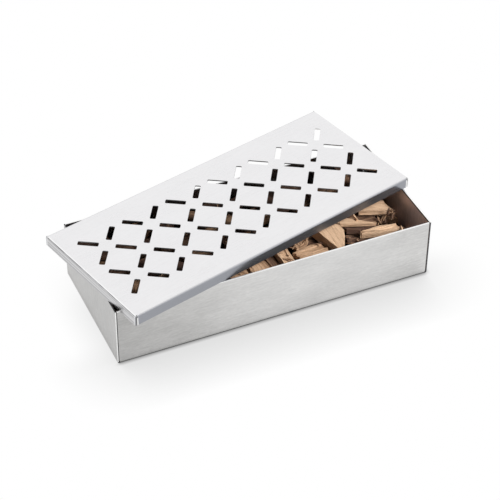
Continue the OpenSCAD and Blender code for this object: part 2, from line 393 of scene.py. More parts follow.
class Graph:
    """A node tree that is written as expressions."""

    def __init__(self, tree: bpy.types.NodeTree) -> None:
        """Empties the tree and keeps it."""
        tree.nodes.clear()
        self.tree = tree

    @staticmethod
    def of_material(name: str) -> tuple[bpy.types.Material, "Graph"]:
        """Makes a material.

        Args:
            name: Its name.

        Returns:
            The material and its graph, which is empty.
        """
        material = bpy.data.materials.new(name)
        material.use_nodes = True
        return material, Graph(material.node_tree)

    def add(
        self,
        kind: str,
        settings: dict[str, object] | None = None,
        inputs: dict[str | int, object] | None = None,
    ) -> bpy.types.Node:
        """Adds a node.

        Args:
            kind: Type of the node.
            settings: The node's own settings, which are set first; stops are those of a ramp.
            inputs: Values or links of its sockets, by name or place.

        Returns:
            The node.
        """
        node = self.tree.nodes.new(kind)
        for key, value in (settings or {}).items():
            if key == "stops":
                self._set_stops(node.color_ramp, value)
            else:
                setattr(node, key, value)
        for key, value in (inputs or {}).items():
            source = value.socket if isinstance(value, Value) else value
            if isinstance(source, Socket):
                self.tree.links.new(source, node.inputs[key])
            else:
                node.inputs[key].default_value = source
        return node

    @staticmethod
    def _set_stops(ramp: bpy.types.ColorRamp, stops: list[tuple[float, Colour]]) -> None:
        """Gives a ramp its stops.

        Args:
            ramp: The ramp.
            stops: A place and a colour for each.
        """
        while len(ramp.elements) < len(stops):
            ramp.elements.new(1.0)
        for element, (place, colour) in zip(ramp.elements, stops):
            element.position = place
            element.color = (*colour, 1.0)

    def math(self, operation: str, *numbers: Number) -> Value:
        """Adds one Math node on numbers or values."""
        node = self.add("ShaderNodeMath", {"operation": operation}, dict(enumerate(numbers)))
        return Value(self, node.outputs[0])

    def mix(self, share: Number, first: object, second: object, blend: str = "MIX") -> Socket:
        """Mixes two colours.

        Args:
            share: How much of the second shows, from 0 to 1.
            first: A colour or a socket.
            second: A colour or a socket.
            blend: Way of mixing them.

        Returns:
            The socket of the mixed colour.
        """
        settings = {"data_type": "RGBA", "blend_type": blend}
        sockets = {0: share, 6: self.colour(first), 7: self.colour(second)}
        return self.add("ShaderNodeMix", settings, sockets).outputs[2]

    @staticmethod
    def colour(value: object) -> object:
        """Adds the fourth number to a colour, and leaves a socket as it is."""
        return (*value, 1.0) if isinstance(value, tuple) else value

    def parts(self, vector: Socket) -> list[Value]:
        """Takes a vector's three numbers apart."""
        node = self.add("ShaderNodeSeparateXYZ", None, {0: vector})
        return [Value(self, socket) for socket in node.outputs]

    def noise(self, vector: Socket, pattern: Pattern) -> Value:
        """Adds a pattern's noise.

        Args:
            vector: Coordinates in metres.
            pattern: Its scale and detail.

        Returns:
            A number from 0 to 1.
        """
        sockets = {0: vector, 1: pattern.scale}
        stretched = self.add("ShaderNodeVectorMath", {"operation": "MULTIPLY"}, sockets).outputs[0]
        inputs = {"Vector": stretched, "Scale": 1.0, "Detail": pattern.detail}
        return Value(self, self.add("ShaderNodeTexNoise", None, inputs).outputs["Fac"])

    def attribute(self, name: str) -> bpy.types.Node:
        """Reads a piece's own attribute."""
        return self.add("ShaderNodeAttribute", {"attribute_name": name})

    def number(self, name: str) -> Value:
        """Reads a piece's own attribute as a number."""
        return Value(self, self.attribute(name).outputs["Fac"])

    def bump(self, strength: float, depth: float, height: Value) -> Socket:
        """Tilts the surface as a relief of some height would."""
        inputs = {"Strength": strength, "Distance": depth, "Height": height}
        return self.add("ShaderNodeBump", None, inputs).outputs["Normal"]

    def dress(self, inputs: dict[str, object]) -> None:
        """Ends the tree in a Principled shader with these values or links."""
        self.finish(self.add("ShaderNodeBsdfPrincipled", None, inputs).outputs["BSDF"])

    def finish(self, shader: Socket, kind: str = "ShaderNodeOutputMaterial") -> None:
        """Links a shader to the tree's output."""
        self.add(kind, None, {"Surface": shader})


@dataclass(frozen=True)
class Mark:
    """A colour that is laid over a stretch of a surface.

    Args:
        colour: The colour.
        share: How much of it shows.
        rise: Where it begins and is full, or None if it is full from the start.
        fall: Where it begins to end and has ended, or None if it doesn't end.
        blend: Way of mixing it in.
    """

    colour: Colour
    share: float = 1.0
    rise: Span | None = None
    fall: Span | None = None
    blend: str = "MIX"

    @staticmethod
    def dulled(share: float, rise: Span | None = None, fall: Span | None = None) -> "Mark":
        """Leaves a share of the colour that it is laid over."""
        return Mark((share, share, share), 1.0, rise, fall, "MULTIPLY")

    def over(self, base: Socket, place: Value, mask: Number = 1.0) -> Socket:
        """Lays the colour over another.

        Args:
            base: The other colour.
            place: Number that the spans are spans of.
            mask: How much of the mark is left, from 0 to 1.

        Returns:
            The socket of the mixed colour.
        """
        shown = place.band(self.rise, self.fall) * self.share * mask
        return place.graph.mix(shown, base, self.colour, self.blend)


class BlankPlace:
    """Where a shaded point lies on a sheet's flat blank."""

    def __init__(self, graph: Graph) -> None:
        """Reads the blank's own UV map, in metres from its middle.

        Args:
            graph: Graph of the material.
        """
        self.graph = graph
        self.vector = graph.add("ShaderNodeUVMap", {"uv_map": "blank"}).outputs["UV"]
        self.along, self.across, _ = graph.parts(self.vector)
        self.aside = self.across.size()


@dataclass(frozen=True)
class BrushedSteel(ABC):
    """Stainless sheet with a brushed grain that runs along its blank.

    Args:
        name: Name of the material.
        colour: Mean colour of the metal.
        roughness: Mean roughness.
        contrast: How much the brushing shows.
        spread: How far the dull and the bright tone lie from the mean colour, as a share of it.
        brushing: Fine hairlines, broader streaks, short flecks and soft clouds.
        scratch: A few scratches.
        scratch_level: Levels of their noise at which they begin to show and are full.
        relief: Strength of the relief.
        depth: Its depth.
    """

    name: str
    colour: Colour
    roughness: float
    contrast: float
    spread: float = 0.14
    brushing: tuple[Pattern, ...] = (
        Pattern((35.0, 2600.0, 1.0), 4.0, shade=0.5, rough=0.16, height=0.6),
        Pattern((90.0, 520.0, 1.0), 3.0, shade=0.4, height=1.0),
        Pattern((330.0, 900.0, 1.0), 2.0, shade=0.5),
        Pattern((30.0, 60.0, 1.0), 3.0, shade=0.6, rough=0.1),
    )
    scratch: Pattern = Pattern((160.0, 900.0, 1.0), 1.0, shade=-0.08, rough=0.06, height=-0.4)
    scratch_level: Span = (0.68, 0.78)
    relief: float = 0.35
    depth: float = 0.05 * MM

    def material(self) -> bpy.types.Material:
        """Makes the finish: the noises of the brushing and the scratches are added up by their shares.

        Returns:
            The material.
        """
        material, graph = Graph.of_material(self.name)
        place = BlankPlace(graph)
        shade, rough, height = 0.5, self.roughness, 0.0
        for pattern in self.brushing:
            level = graph.noise(place.vector, pattern)
            shade = shade + (level - 0.5) * (pattern.shade * self.contrast)
            rough = rough + (level - 0.5) * pattern.rough
            height = height + level * pattern.height
        scratched = graph.noise(place.vector, self.scratch).ramp(*self.scratch_level)
        shade = shade + scratched * self.scratch.shade
        rough = rough + scratched * self.scratch.rough
        height = height + scratched * self.scratch.height
        normal = graph.bump(self.relief, self.depth, height)
        graph.dress({**self.formed(place, shade, rough), "Normal": normal})
        return material

    def brushed(self, shade: Value, colour: Colour) -> Socket:
        """Mixes a dull and a bright tone of a colour by their shade."""
        dull, bright = (
            tuple(min(1.0, c * factor) for c in colour) for factor in (1.0 - self.spread, 1.0 + self.spread)
        )
        return shade.graph.mix(shade, dull, bright)

    @abstractmethod
    def formed(self, place: BlankPlace, shade: Value, rough: Value) -> dict[str, object]:
        """Adds what differs from place to place on the blank.

        Args:
            place: Where the point lies on the blank.
            shade: Shade of the brushing there.
            rough: Its roughness.

        Returns:
            Colour, metal and roughness for the shader.
        """


@dataclass(frozen=True, kw_only=True)
class TraySteel(BrushedSteel):
    """The tray's steel, with painted shade and highlights outside, and a painted reflection and painted
    shade inside.

    Args:
        along_shading: Painted shade and a painted highlight that lie along the blank, counted from its
            middle.
        aside_shade_and_wear: Painted shade, and the worn rims with a painted highlight, on both sides of
            the blank's middle line.
        inner_reflection_and_shade: Colours of the inside: a painted reflection of the chips for the front
            of the right end, and painted shade for the rest.
        inner_rough: How much rougher the inside is.
        end_run: Where along the blank the right end's inside begins and is full.
        front_run: Where across the blank its front part begins to end and has ended.
        inner_line: A line inside the right end, which lies along the blank.
    """

    along_shading: tuple[Mark, ...]
    aside_shade_and_wear: tuple[Mark, ...]
    inner_reflection_and_shade: tuple[Colour, Colour] = ((0.76, 0.65, 0.63), (0.31, 0.305, 0.305))
    inner_rough: float = 0.16
    end_run: Span
    front_run: Span = (0.0, 30 * MM)
    inner_line: Mark

    def formed(self, place: BlankPlace, shade: Value, rough: Value) -> dict[str, object]:
        """Lays the painted shade and highlights of the outside over the brushing, and then the inside's
        painted reflection and shade.

        Args:
            place: Where the point lies on the blank.
            shade: Shade of the brushing there.
            rough: Its roughness.

        Returns:
            Colour, metal and roughness for the shader.
        """
        graph, along = place.graph, place.along
        base = self.brushed(shade, self.colour)
        # Painted shade and highlights over the outside, along the blank and on both sides of its middle
        for mark in self.along_shading:
            base = mark.over(base, along)
        for mark in self.aside_shade_and_wear:
            base = mark.over(base, place.aside)
        inside = graph.number("inside")
        # The inside is painted: a reflection of the chips at the front of the right end, and shade
        # elsewhere
        front, rest = (self.brushed(shade, colour) for colour in self.inner_reflection_and_shade)
        at_front = along.ramp(*self.end_run) * (1.0 - place.across.ramp(*self.front_run))
        base = graph.mix(inside, base, graph.mix(at_front, rest, front))
        base = self.inner_line.over(base, along, inside)
        return {"Base Color": base, "Metallic": 1.0, "Roughness": rough + inside * self.inner_rough}


@dataclass(frozen=True, kw_only=True)
class LidSteel(BrushedSteel):
    """The lid's steel, with painted shade on its lips and painted highlights and painted dark lines at its
    end bends.

    Args:
        bend_from: Where along the blank the end bends begin, counted from its middle.
        arc: Length of a bend. The end lips' painted shade, the painted highlight and the painted dark line
            lie at shares of it.
        left_run: Where along the blank the left half ends and the right half begins.
        end_lip_shade: Painted shade that darkens the end lips.
        lip_streaks: Streaks up the lips along which the painted shade is stronger.
        lip_streak_level: Levels of their noise at which they begin to show and are full.
        lip_streak_share: How much of the painted shade shows between these streaks and on them.
        bend_highlight: Painted highlight that brightens the start of the left bend.
        bend_shade_line: Painted shade that darkens a broken line along the bends.
        bend_shade_line_right: How much of it there is on the right.
        broken: Gaps in that line.
        broken_level: Levels of their noise at which they begin to close and are closed.
        broken_share: How much of the line shows in the gaps and beside them.
        end_highlight: Painted highlight that brightens the ends of the end lips, on both sides of the
            blank's middle line.
        side: Painted dark reflection that dulls the long lips, on both sides of that line.
        side_haze: Share of the long lips' finish that is matt.
        side_highlight: Painted highlight that brightens the ends of the long lips, at both ends of the
            blank.
        side_bent_run: Where aside of the middle line that begins and is full.
    """

    bend_from: float
    arc: float
    left_run: Span = (-10 * MM, 10 * MM)
    end_lip_shade: Mark = Mark((0.42, 0.42, 0.425), rise=(0.35, 0.6))
    lip_streaks: Pattern = Pattern((620.0, 5.0, 1.0))
    lip_streak_level: Span = (0.36, 0.62)
    lip_streak_share: Span = (0.34, 0.94)
    bend_highlight: Mark = Mark((0.99, 0.99, 0.99), rise=(0.0, 0.1), fall=(0.25, 0.35))
    bend_shade_line: Mark = Mark((0.1, 0.1, 0.105), rise=(0.38, 0.48), fall=(0.6, 0.75))
    bend_shade_line_right: float = 0.25
    broken: Pattern = Pattern((900.0, 110.0, 1.0))
    broken_level: Span = (0.35, 0.6)
    broken_share: Span = (0.35, 0.85)
    end_highlight: Mark
    side: Mark
    side_haze: float = 0.13
    side_highlight: Mark
    side_bent_run: Span

    def formed(self, place: BlankPlace, shade: Value, rough: Value) -> dict[str, object]:
        """Lays the painted highlights and painted shade of the end bends and the lips over the brushing.

        Args:
            place: Where the point lies on the blank.
            shade: Shade of the brushing there.
            rough: Its roughness.

        Returns:
            Colour, metal and roughness for the shader.
        """
        graph, aside, outward = place.graph, place.aside, place.along.size()
        bent = (outward - self.bend_from) * (1.0 / self.arc)
        on_left = 1.0 - place.along.ramp(*self.left_run)
        lip_streaks = graph.noise(place.vector, self.lip_streaks).ramp(*self.lip_streak_level)
        broken = graph.noise(place.vector, self.broken).ramp(*self.broken_level)
        # How much of the painted dark line along the bends shows
        bend_shade_line_shown = on_left.between(self.bend_shade_line_right, 1.0) * broken.between(*self.broken_share)
        base = self.brushed(shade, self.colour)
        # Painted shade on the end lips, streaked
        base = self.end_lip_shade.over(base, bent, lip_streaks.between(*self.lip_streak_share))
        # Painted highlight at the start of the left bend
        base = self.bend_highlight.over(base, bent, on_left)
        # A broken painted dark line along the bends
        base = self.bend_shade_line.over(base, bent, bend_shade_line_shown)
        # Painted highlight at the ends of the end lips
        base = self.end_highlight.over(base, aside, bent.ramp(*self.end_lip_shade.rise))
        # Painted dark reflection on the long lips
        base = self.side.over(base, aside)
        # Painted highlight at the ends of the long lips
        base = self.side_highlight.over(base, outward, aside.ramp(*self.side_bent_run))
        haze = aside.ramp(*self.side.rise) * self.side_haze
        return {"Base Color": base, "Metallic": 1.0 - haze, "Roughness": rough}


@dataclass(frozen=True)
class CutEdge:
    """A cut edge of the sheet.

    Args:
        colour: Colour of the bare metal; on the dark cut edges it is painted shade.
        roughness: Least roughness.
        dull: Share of the colour that the marks of the cut keep.
        nicks: Marks of the cut.
    """

    colour: Colour
    roughness: float
    dull: float = 0.9
    nicks: Pattern = Pattern((900.0, 900.0, 900.0), rough=0.2)

    def material(self, name: str) -> bpy.types.Material:
        """Makes the finish: bare metal with faint marks of the cut.

        Args:
            name: Name of the material.

        Returns:
            The material.
        """
        material, graph = Graph.of_material(name)
        nicks = graph.noise(graph.add("ShaderNodeTexCoord").outputs["Object"], self.nicks)
        colour = graph.mix(nicks, tuple(c * self.dull for c in self.colour), self.colour)
        rough = self.roughness + nicks * self.nicks.rough
        graph.dress({"Base Color": colour, "Metallic": 1.0, "Roughness": rough})
        return material


@dataclass(frozen=True)
class SplitWood:
    """Raw split hardwood, with rings, fibres and pores along each chip's own grain.

    Args:
        name: Name of the material.
        dark: Colour of the darkest heartwood.
        middle: Colour between them.
        pale: Colour of the palest sapwood.
        gap_shade: Painted shade that darkens the gaps between chips.
        gap_shade_share: How much of it shows in the deepest gaps.
        rings: Yearly rings per metre.
        warp: Noise that bends the rings.
        warp_share: By how many rings it bends them.
        late_rise: Shares of a ring at which its dark late wood begins and is full.
        late_fall: Shares at which it begins to end and has ended.
        late_shade: How much darker the late wood is.
        late_height: How far it stands up.
        fibres: Fibres along the grain.
        blotches: Lighter and darker areas.
        pores: Fine open pores.
        pore_level: Levels of their noise at which they begin to show and are full.
        end_shade: How much darker the broken ends are.
        hollow_shade: How much painted shade darkens the hollows.
        roughness: Least roughness.
        gloss: Specular level.
        relief: Strength of the relief.
        depth: Its depth.
    """

    name: str = "split_wood"
    dark: Colour = (0.125, 0.074, 0.056)
    middle: Colour = (0.47, 0.29, 0.175)
    pale: Colour = (0.86, 0.6, 0.4)
    gap_shade: Colour = (0.17, 0.14, 0.135)
    gap_shade_share: float = 0.85
    rings: float = 620.0
    warp: Pattern = Pattern((45.0, 160.0, 160.0))
    warp_share: float = 2.4
    late_rise: Span = (0.55, 0.95)
    late_fall: Span = (0.95, 1.0)
    late_shade: float = 0.16
    late_height: float = 0.4
    fibres: Pattern = Pattern((90.0, 2400.0, 2400.0), 3.0, shade=0.55, rough=0.3, height=1.0)
    blotches: Pattern = Pattern((60.0, 120.0, 120.0), shade=0.5)
    pores: Pattern = Pattern((330.0, 3600.0, 3600.0), 1.0, shade=-0.14, height=-0.8)
    pore_level: Span = (0.62, 0.72)
    end_shade: float = 0.16
    hollow_shade: float = 0.34
    roughness: float = 0.62
    gloss: float = 0.3
    relief: float = 0.7
    depth: float = 0.22 * MM

    def material(self) -> bpy.types.Material:
        """Makes the finish from a chip's grain coordinates, its tone and its ends, with painted shade in
        its hollows and gaps.

        Returns:
            The material.
        """
        material, graph = Graph.of_material(self.name)
        grain = graph.attribute("grain").outputs["Vector"]
        tone, ends, hollow, sunk = (graph.number(name) for name in ("tone", "ends", "hollow", "sunk"))
        warp = graph.noise(grain, self.warp) * self.warp_share
        late = (graph.parts(grain)[1] * self.rings + warp).fraction().band(self.late_rise, self.late_fall)
        fibres = graph.noise(grain, self.fibres)
        blotches = graph.noise(grain, self.blotches)
        pores = graph.noise(grain, self.pores).ramp(*self.pore_level)
        level = tone + (fibres - 0.5) * self.fibres.shade + (blotches - 0.5) * self.blotches.shade
        level = level - late * self.late_shade + pores * self.pores.shade
        # Painted shade in the hollows
        level = level - ends * self.end_shade - hollow * self.hollow_shade
        stops = [(0.0, self.dark), (0.5, self.middle), (1.0, self.pale)]
        wood = graph.add("ShaderNodeValToRGB", {"stops": stops}, {"Fac": level}).outputs["Color"]
        height = fibres * self.fibres.height + late * self.late_height + pores * self.pores.height
        # The gaps between chips get painted shade
        graph.dress(
            {
                "Base Color": graph.mix(sunk * self.gap_shade_share, wood, self.gap_shade, "MULTIPLY"),
                "Roughness": self.roughness + fibres * self.fibres.rough,
                "Specular IOR Level": self.gloss,
                "Normal": graph.bump(self.relief, self.depth, height),
            }
        )
        return material


@dataclass
class FoldedBox(ABC):
    """An open box folded from one blank, with its floor on the ground.

    Args:
        node: Node that the piece stands for, which is also its body's name.
        length: Outside length, along X.
        width: Outside width, along Y.
        height: Height of the walls.
        bend: Inside radius of the bends.
        sheet: Thickness of the sheet.
        seam: Gap left open at each corner seam.
        relief: How far each long bend stops short of the end walls.
        bend_steps: Flat steps that make up a bend.
        wall_steps: Steps up a wall.
        floor_steps: Steps from the middle of the floor to its edge.
        edge: Rounding of the raw edges.
        edge_steps: Steps of that rounding.
        edge_angle: Angle between faces from which an edge is rounded.
        even_weight: How much more large faces count in the shading, where 50 is neutral.
        rim: Finish of the rims, which are ground bright.
        raw: Finish of the other cut edges, dark grey as painted shade of the narrow seams, the relief cuts
            and the left rim.
        bright_from: Place along the blank from which all cut edges are ground bright.
        bright_to: Place along the blank up to which the upright cut edges are bright.
        flipped: Whether placing the piece turns it inside out.
    """

    node: str
    length: float
    width: float
    height: float
    bend: float = 0.4 * MM
    sheet: float = 0.8 * MM
    seam: float = 0.4 * MM
    relief: float = 0.3 * MM
    bend_steps: int = 7
    wall_steps: int = 5
    floor_steps: int = 8
    edge: float = 0.085 * MM
    edge_steps: int = 2
    edge_angle: float = math.radians(40)
    even_weight: int = 100
    rim: CutEdge = CutEdge((0.98, 0.975, 0.97), 0.25)
    # Dark grey: painted shade in the seams, the relief cuts and at the left end
    raw: CutEdge = CutEdge((0.1, 0.1, 0.105), 0.5)
    bright_from: float = math.inf
    bright_to: float = -math.inf
    flipped: bool = False

    @property
    def outer(self) -> float:
        """Outside radius of the bends."""
        return self.bend + self.sheet

    @property
    def floor_half(self) -> Array:
        """Half the length and width of the flat floor."""
        return np.array([self.length, self.width]) / 2 - self.outer

    @property
    def arc(self) -> float:
        """Length of a bend's outside."""
        return self.outer * math.pi / 2

    @property
    def wall_half(self) -> Array:
        """Half the run of the long walls along X and of the end walls along Y."""
        return np.array([self.length / 2 - self.sheet - self.seam, self.width / 2])

    @property
    def reach(self) -> Array:
        """Distance from the middle of the blank to its end rims and to its long rims."""
        return self.floor_half + self.arc + self.height - self.outer

    @abstractmethod
    def finish(self) -> BrushedSteel:
        """Finish of the sheet, with its marks where the sheet is folded."""

    @staticmethod
    def distinct(places: Array) -> Array:
        """Puts places in rising order, and leaves one of those that differ by rounding alone."""
        return np.unique(np.round(places, 9))

    def lines(self, axis: int) -> Array:
        """Lines of the blank across one axis, where its cells begin and end.

        Args:
            axis: 0 for lines across X and 1 for lines across Y.

        Returns:
            Their places, in rising order and the same on both sides of the middle.
        """
        half = self.floor_half[axis]
        bends = half + self.arc * np.arange(self.bend_steps + 1) / self.bend_steps
        wall = half + self.arc + np.linspace(self.relief, self.height - self.outer, self.wall_steps + 1)
        floor = np.linspace(0, half - self.relief, self.floor_steps + 1)[1:]
        places = self.distinct(np.concatenate([floor, [self.wall_half[axis]], bends, wall]))
        return np.concatenate([-places[::-1], [0.0], places])

    def kept(self, u: Array, v: Array) -> Array:
        """Says which points of the blank are sheet and not cut away.

        Args:
            u: Places along X on the blank.
            v: Places along Y on the blank.

        Returns:
            True for points on the floor, the bends and the walls.
        """
        past_u, past_v = np.abs(np.stack([u, v])) - self.floor_half[:, None, None]
        bend_run, wall_run = self.floor_half[0] - self.relief, self.wall_half[0]
        long_run = np.where(past_v > self.arc + self.relief, wall_run, bend_run)
        end_flap = (past_u > 0) & (np.abs(v) < self.wall_half[1])
        long_flap = (past_v > 0) & (np.abs(u) < long_run)
        return ((past_u < 0) & (past_v < 0)) | end_flap | long_flap

    def blank(self) -> tuple[Array, Array]:
        """Lays out the flat blank.

        Returns:
            Its points as rows of u and v, and its four-sided cells, anticlockwise.
        """
        return self.grid_cells(self.lines(0), self.lines(1), self.kept)

    @staticmethod
    def grid_cells(
        u_lines: Array, v_lines: Array, kept: Callable[[Array, Array], Array]
    ) -> tuple[Array, Array]:
        """Makes cells between lines both ways, and keeps those whose middles are sheet.

        Args:
            u_lines: Places of the lines across X.
            v_lines: Places of the lines across Y.
            kept: Function of u and v that says what is sheet.

        Returns:
            Points and cells.
        """
        u, v = np.meshgrid(u_lines, v_lines, indexing="ij")
        middles = [(lines[1:] + lines[:-1]) / 2 for lines in (u_lines, v_lines)]
        index = np.arange(u.size).reshape(u.shape)
        cells = np.stack([index[:-1, :-1], index[1:, :-1], index[1:, 1:], index[:-1, 1:]], axis=-1)
        whole = kept(*np.meshgrid(*middles, indexing="ij"))
        return np.stack([u, v], axis=-1).reshape(-1, 2), cells[whole]

    def fold(self, flat: Array, depth: float) -> Array:
        """Folds points of the blank up: a point past the floor's edge follows the bend's arc, and
        past that it goes straight up the wall.

        Args:
            flat: Rows of u and v.
            depth: How far the points lie inside the sheet's outside.

        Returns:
            Rows of x, y and z.
        """
        beyond = np.abs(flat) - self.floor_half
        turn = np.clip(beyond, 0, self.arc) / self.outer
        radius = self.outer - depth
        on_end = (beyond[:, 0] > 0) & (beyond[:, 1] < self.outer + SLACK)
        flap = np.column_stack([on_end, ~on_end])
        out = self.floor_half + radius * np.sin(turn)
        place = np.where(flap & (beyond > 0), np.sign(flat) * out, flat)
        most = np.where(on_end, beyond[:, 0], beyond[:, 1])
        turned = np.clip(most, 0, self.arc) / self.outer
        up = self.outer - radius * np.cos(turned) + np.clip(most - self.arc, 0, None)
        return np.column_stack([place, up])

    def place(self, points: Array) -> Array:
        """Moves folded points to where the piece stands."""
        return points

    def sheet_parts(self) -> MeshParts:
        """Welds the blank, folds its outside and its inside, and closes the raw edges between them.

        Returns:
            A closed mesh with the blank's own coordinates as a UV map.
        """
        points, cells = self.blank()
        keys, back = np.unique(np.round(points * WELD_STEPS).astype(int), axis=0, return_inverse=True)
        used, cells = np.unique(back.reshape(-1)[cells], return_inverse=True)
        cells = cells.reshape(-1, 4)
        flat = keys[used] / WELD_STEPS
        count = len(flat)
        starts = cells.ravel()
        ends = np.roll(cells, -1, axis=1).ravel()
        raw = ~np.isin(starts * count + ends, ends * count + starts)
        a, b = starts[raw], ends[raw]
        edges = np.column_stack([b + count, a + count, a, b])
        quads = np.concatenate([cells[:, ::-1], cells + count, edges])
        sheet = np.full(2 * len(cells), EdgeKind.SHEET.value)
        return MeshParts(
            self.place(np.concatenate([self.fold(flat, 0.0), self.fold(flat, self.sheet)])),
            quads[:, ::-1] if self.flipped else quads,
            values={"blank": np.concatenate([flat, flat]), "inside": np.repeat([0.0, 1.0], count)},
            kinds=np.concatenate([sheet, self.edge_kinds(flat[a], flat[b])]),
        )

    def edge_kinds(self, start: Array, end: Array) -> Array:
        """Tells the bright rims from the edges with painted shade at seams, at relief cuts and along the
        left wall.

        Args:
            start: Where each stretch of raw edge starts on the blank.
            end: Where it ends.

        Returns:
            The kind of each stretch.
        """
        rim = (np.abs(start) > self.reach - SLACK) & (np.abs(end) > self.reach - SLACK)
        right, left = start[:, 0] > self.bright_from, start[:, 0] < self.bright_to
        bright = rim[:, 1] | (rim[:, 0] & (start[:, 0] > 0)) | right | (left & ~rim[:, 0])
        return np.where(bright, EdgeKind.RIM.value, EdgeKind.SEAM.value)

    def build(self) -> None:
        """Makes the piece, rounds its raw edges and hides the node that it stands in for."""
        finishes = [
            self.finish().material(),
            self.rim.material(f"{self.node}_rim"),
            self.raw.material(f"{self.node}_raw_edge"),
        ]
        piece = self.sheet_parts().piece(f"{self.node}_sheet", finishes, self.node, f"{self.node}_steel")
        rounding = piece.modifiers.new("raw_edges", "BEVEL")
        rounding.width = self.edge
        rounding.segments = self.edge_steps
        rounding.limit_method = "ANGLE"
        rounding.angle_limit = self.edge_angle
        shading = piece.modifiers.new("even_shading", "WEIGHTED_NORMAL")
        shading.weight = self.even_weight
        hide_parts(self.node)


@dataclass
class Tray(FoldedBox):
    """The tray that holds the chips."""

    node: str = "tray"
    length: float = 210 * MM
    width: float = 89.5 * MM
    height: float = 41 * MM
    bright_to: float = -105.6 * MM

    def finish(self) -> TraySteel:
        """Brushed steel with painted shade on the left and at its foot, a painted highlight in the middle,
        worn rims of the long walls that also carry a painted highlight, and slight painted shade below
        these.

        Returns:
            The finish.
        """
        foot = self.floor_half[0]
        end_rim, long_rim = self.reach
        return TraySteel(
            "tray_steel",
            (0.69, 0.685, 0.675),
            roughness=0.34,
            contrast=2.1,
            along_shading=(
                # Painted shade: the left part of the tray is darker
                Mark.dulled(0.74, fall=(-125 * MM, -20 * MM)),
                # Painted shade at the foot of the left end
                Mark.dulled(0.84, past(-foot, -10.0, 0.0), past(-foot, 0.0, 0.3)),
                # Painted highlight: a broad lighter band over the middle of the tray
                Mark((1.0, 1.0, 1.0), 0.25, (-70 * MM, 10 * MM), (60 * MM, 100 * MM)),
            ),
            aside_shade_and_wear=(
                # Painted shade: the long walls darken towards their rims
                Mark.dulled(0.93, past(long_rim, -30.55, -0.55)),
                # The worn rims of the long walls, lightened partly by wear and partly as a painted
                # highlight
                Mark((0.98, 0.98, 0.97), 0.9, past(long_rim, -0.55, -0.3)),
            ),
            end_run=past(foot + self.arc / 2, 0.0, 1.0),
            inner_line=Mark((0.03, 0.025, 0.025), 0.9, past(end_rim, -1.3, -1.0)),
        )


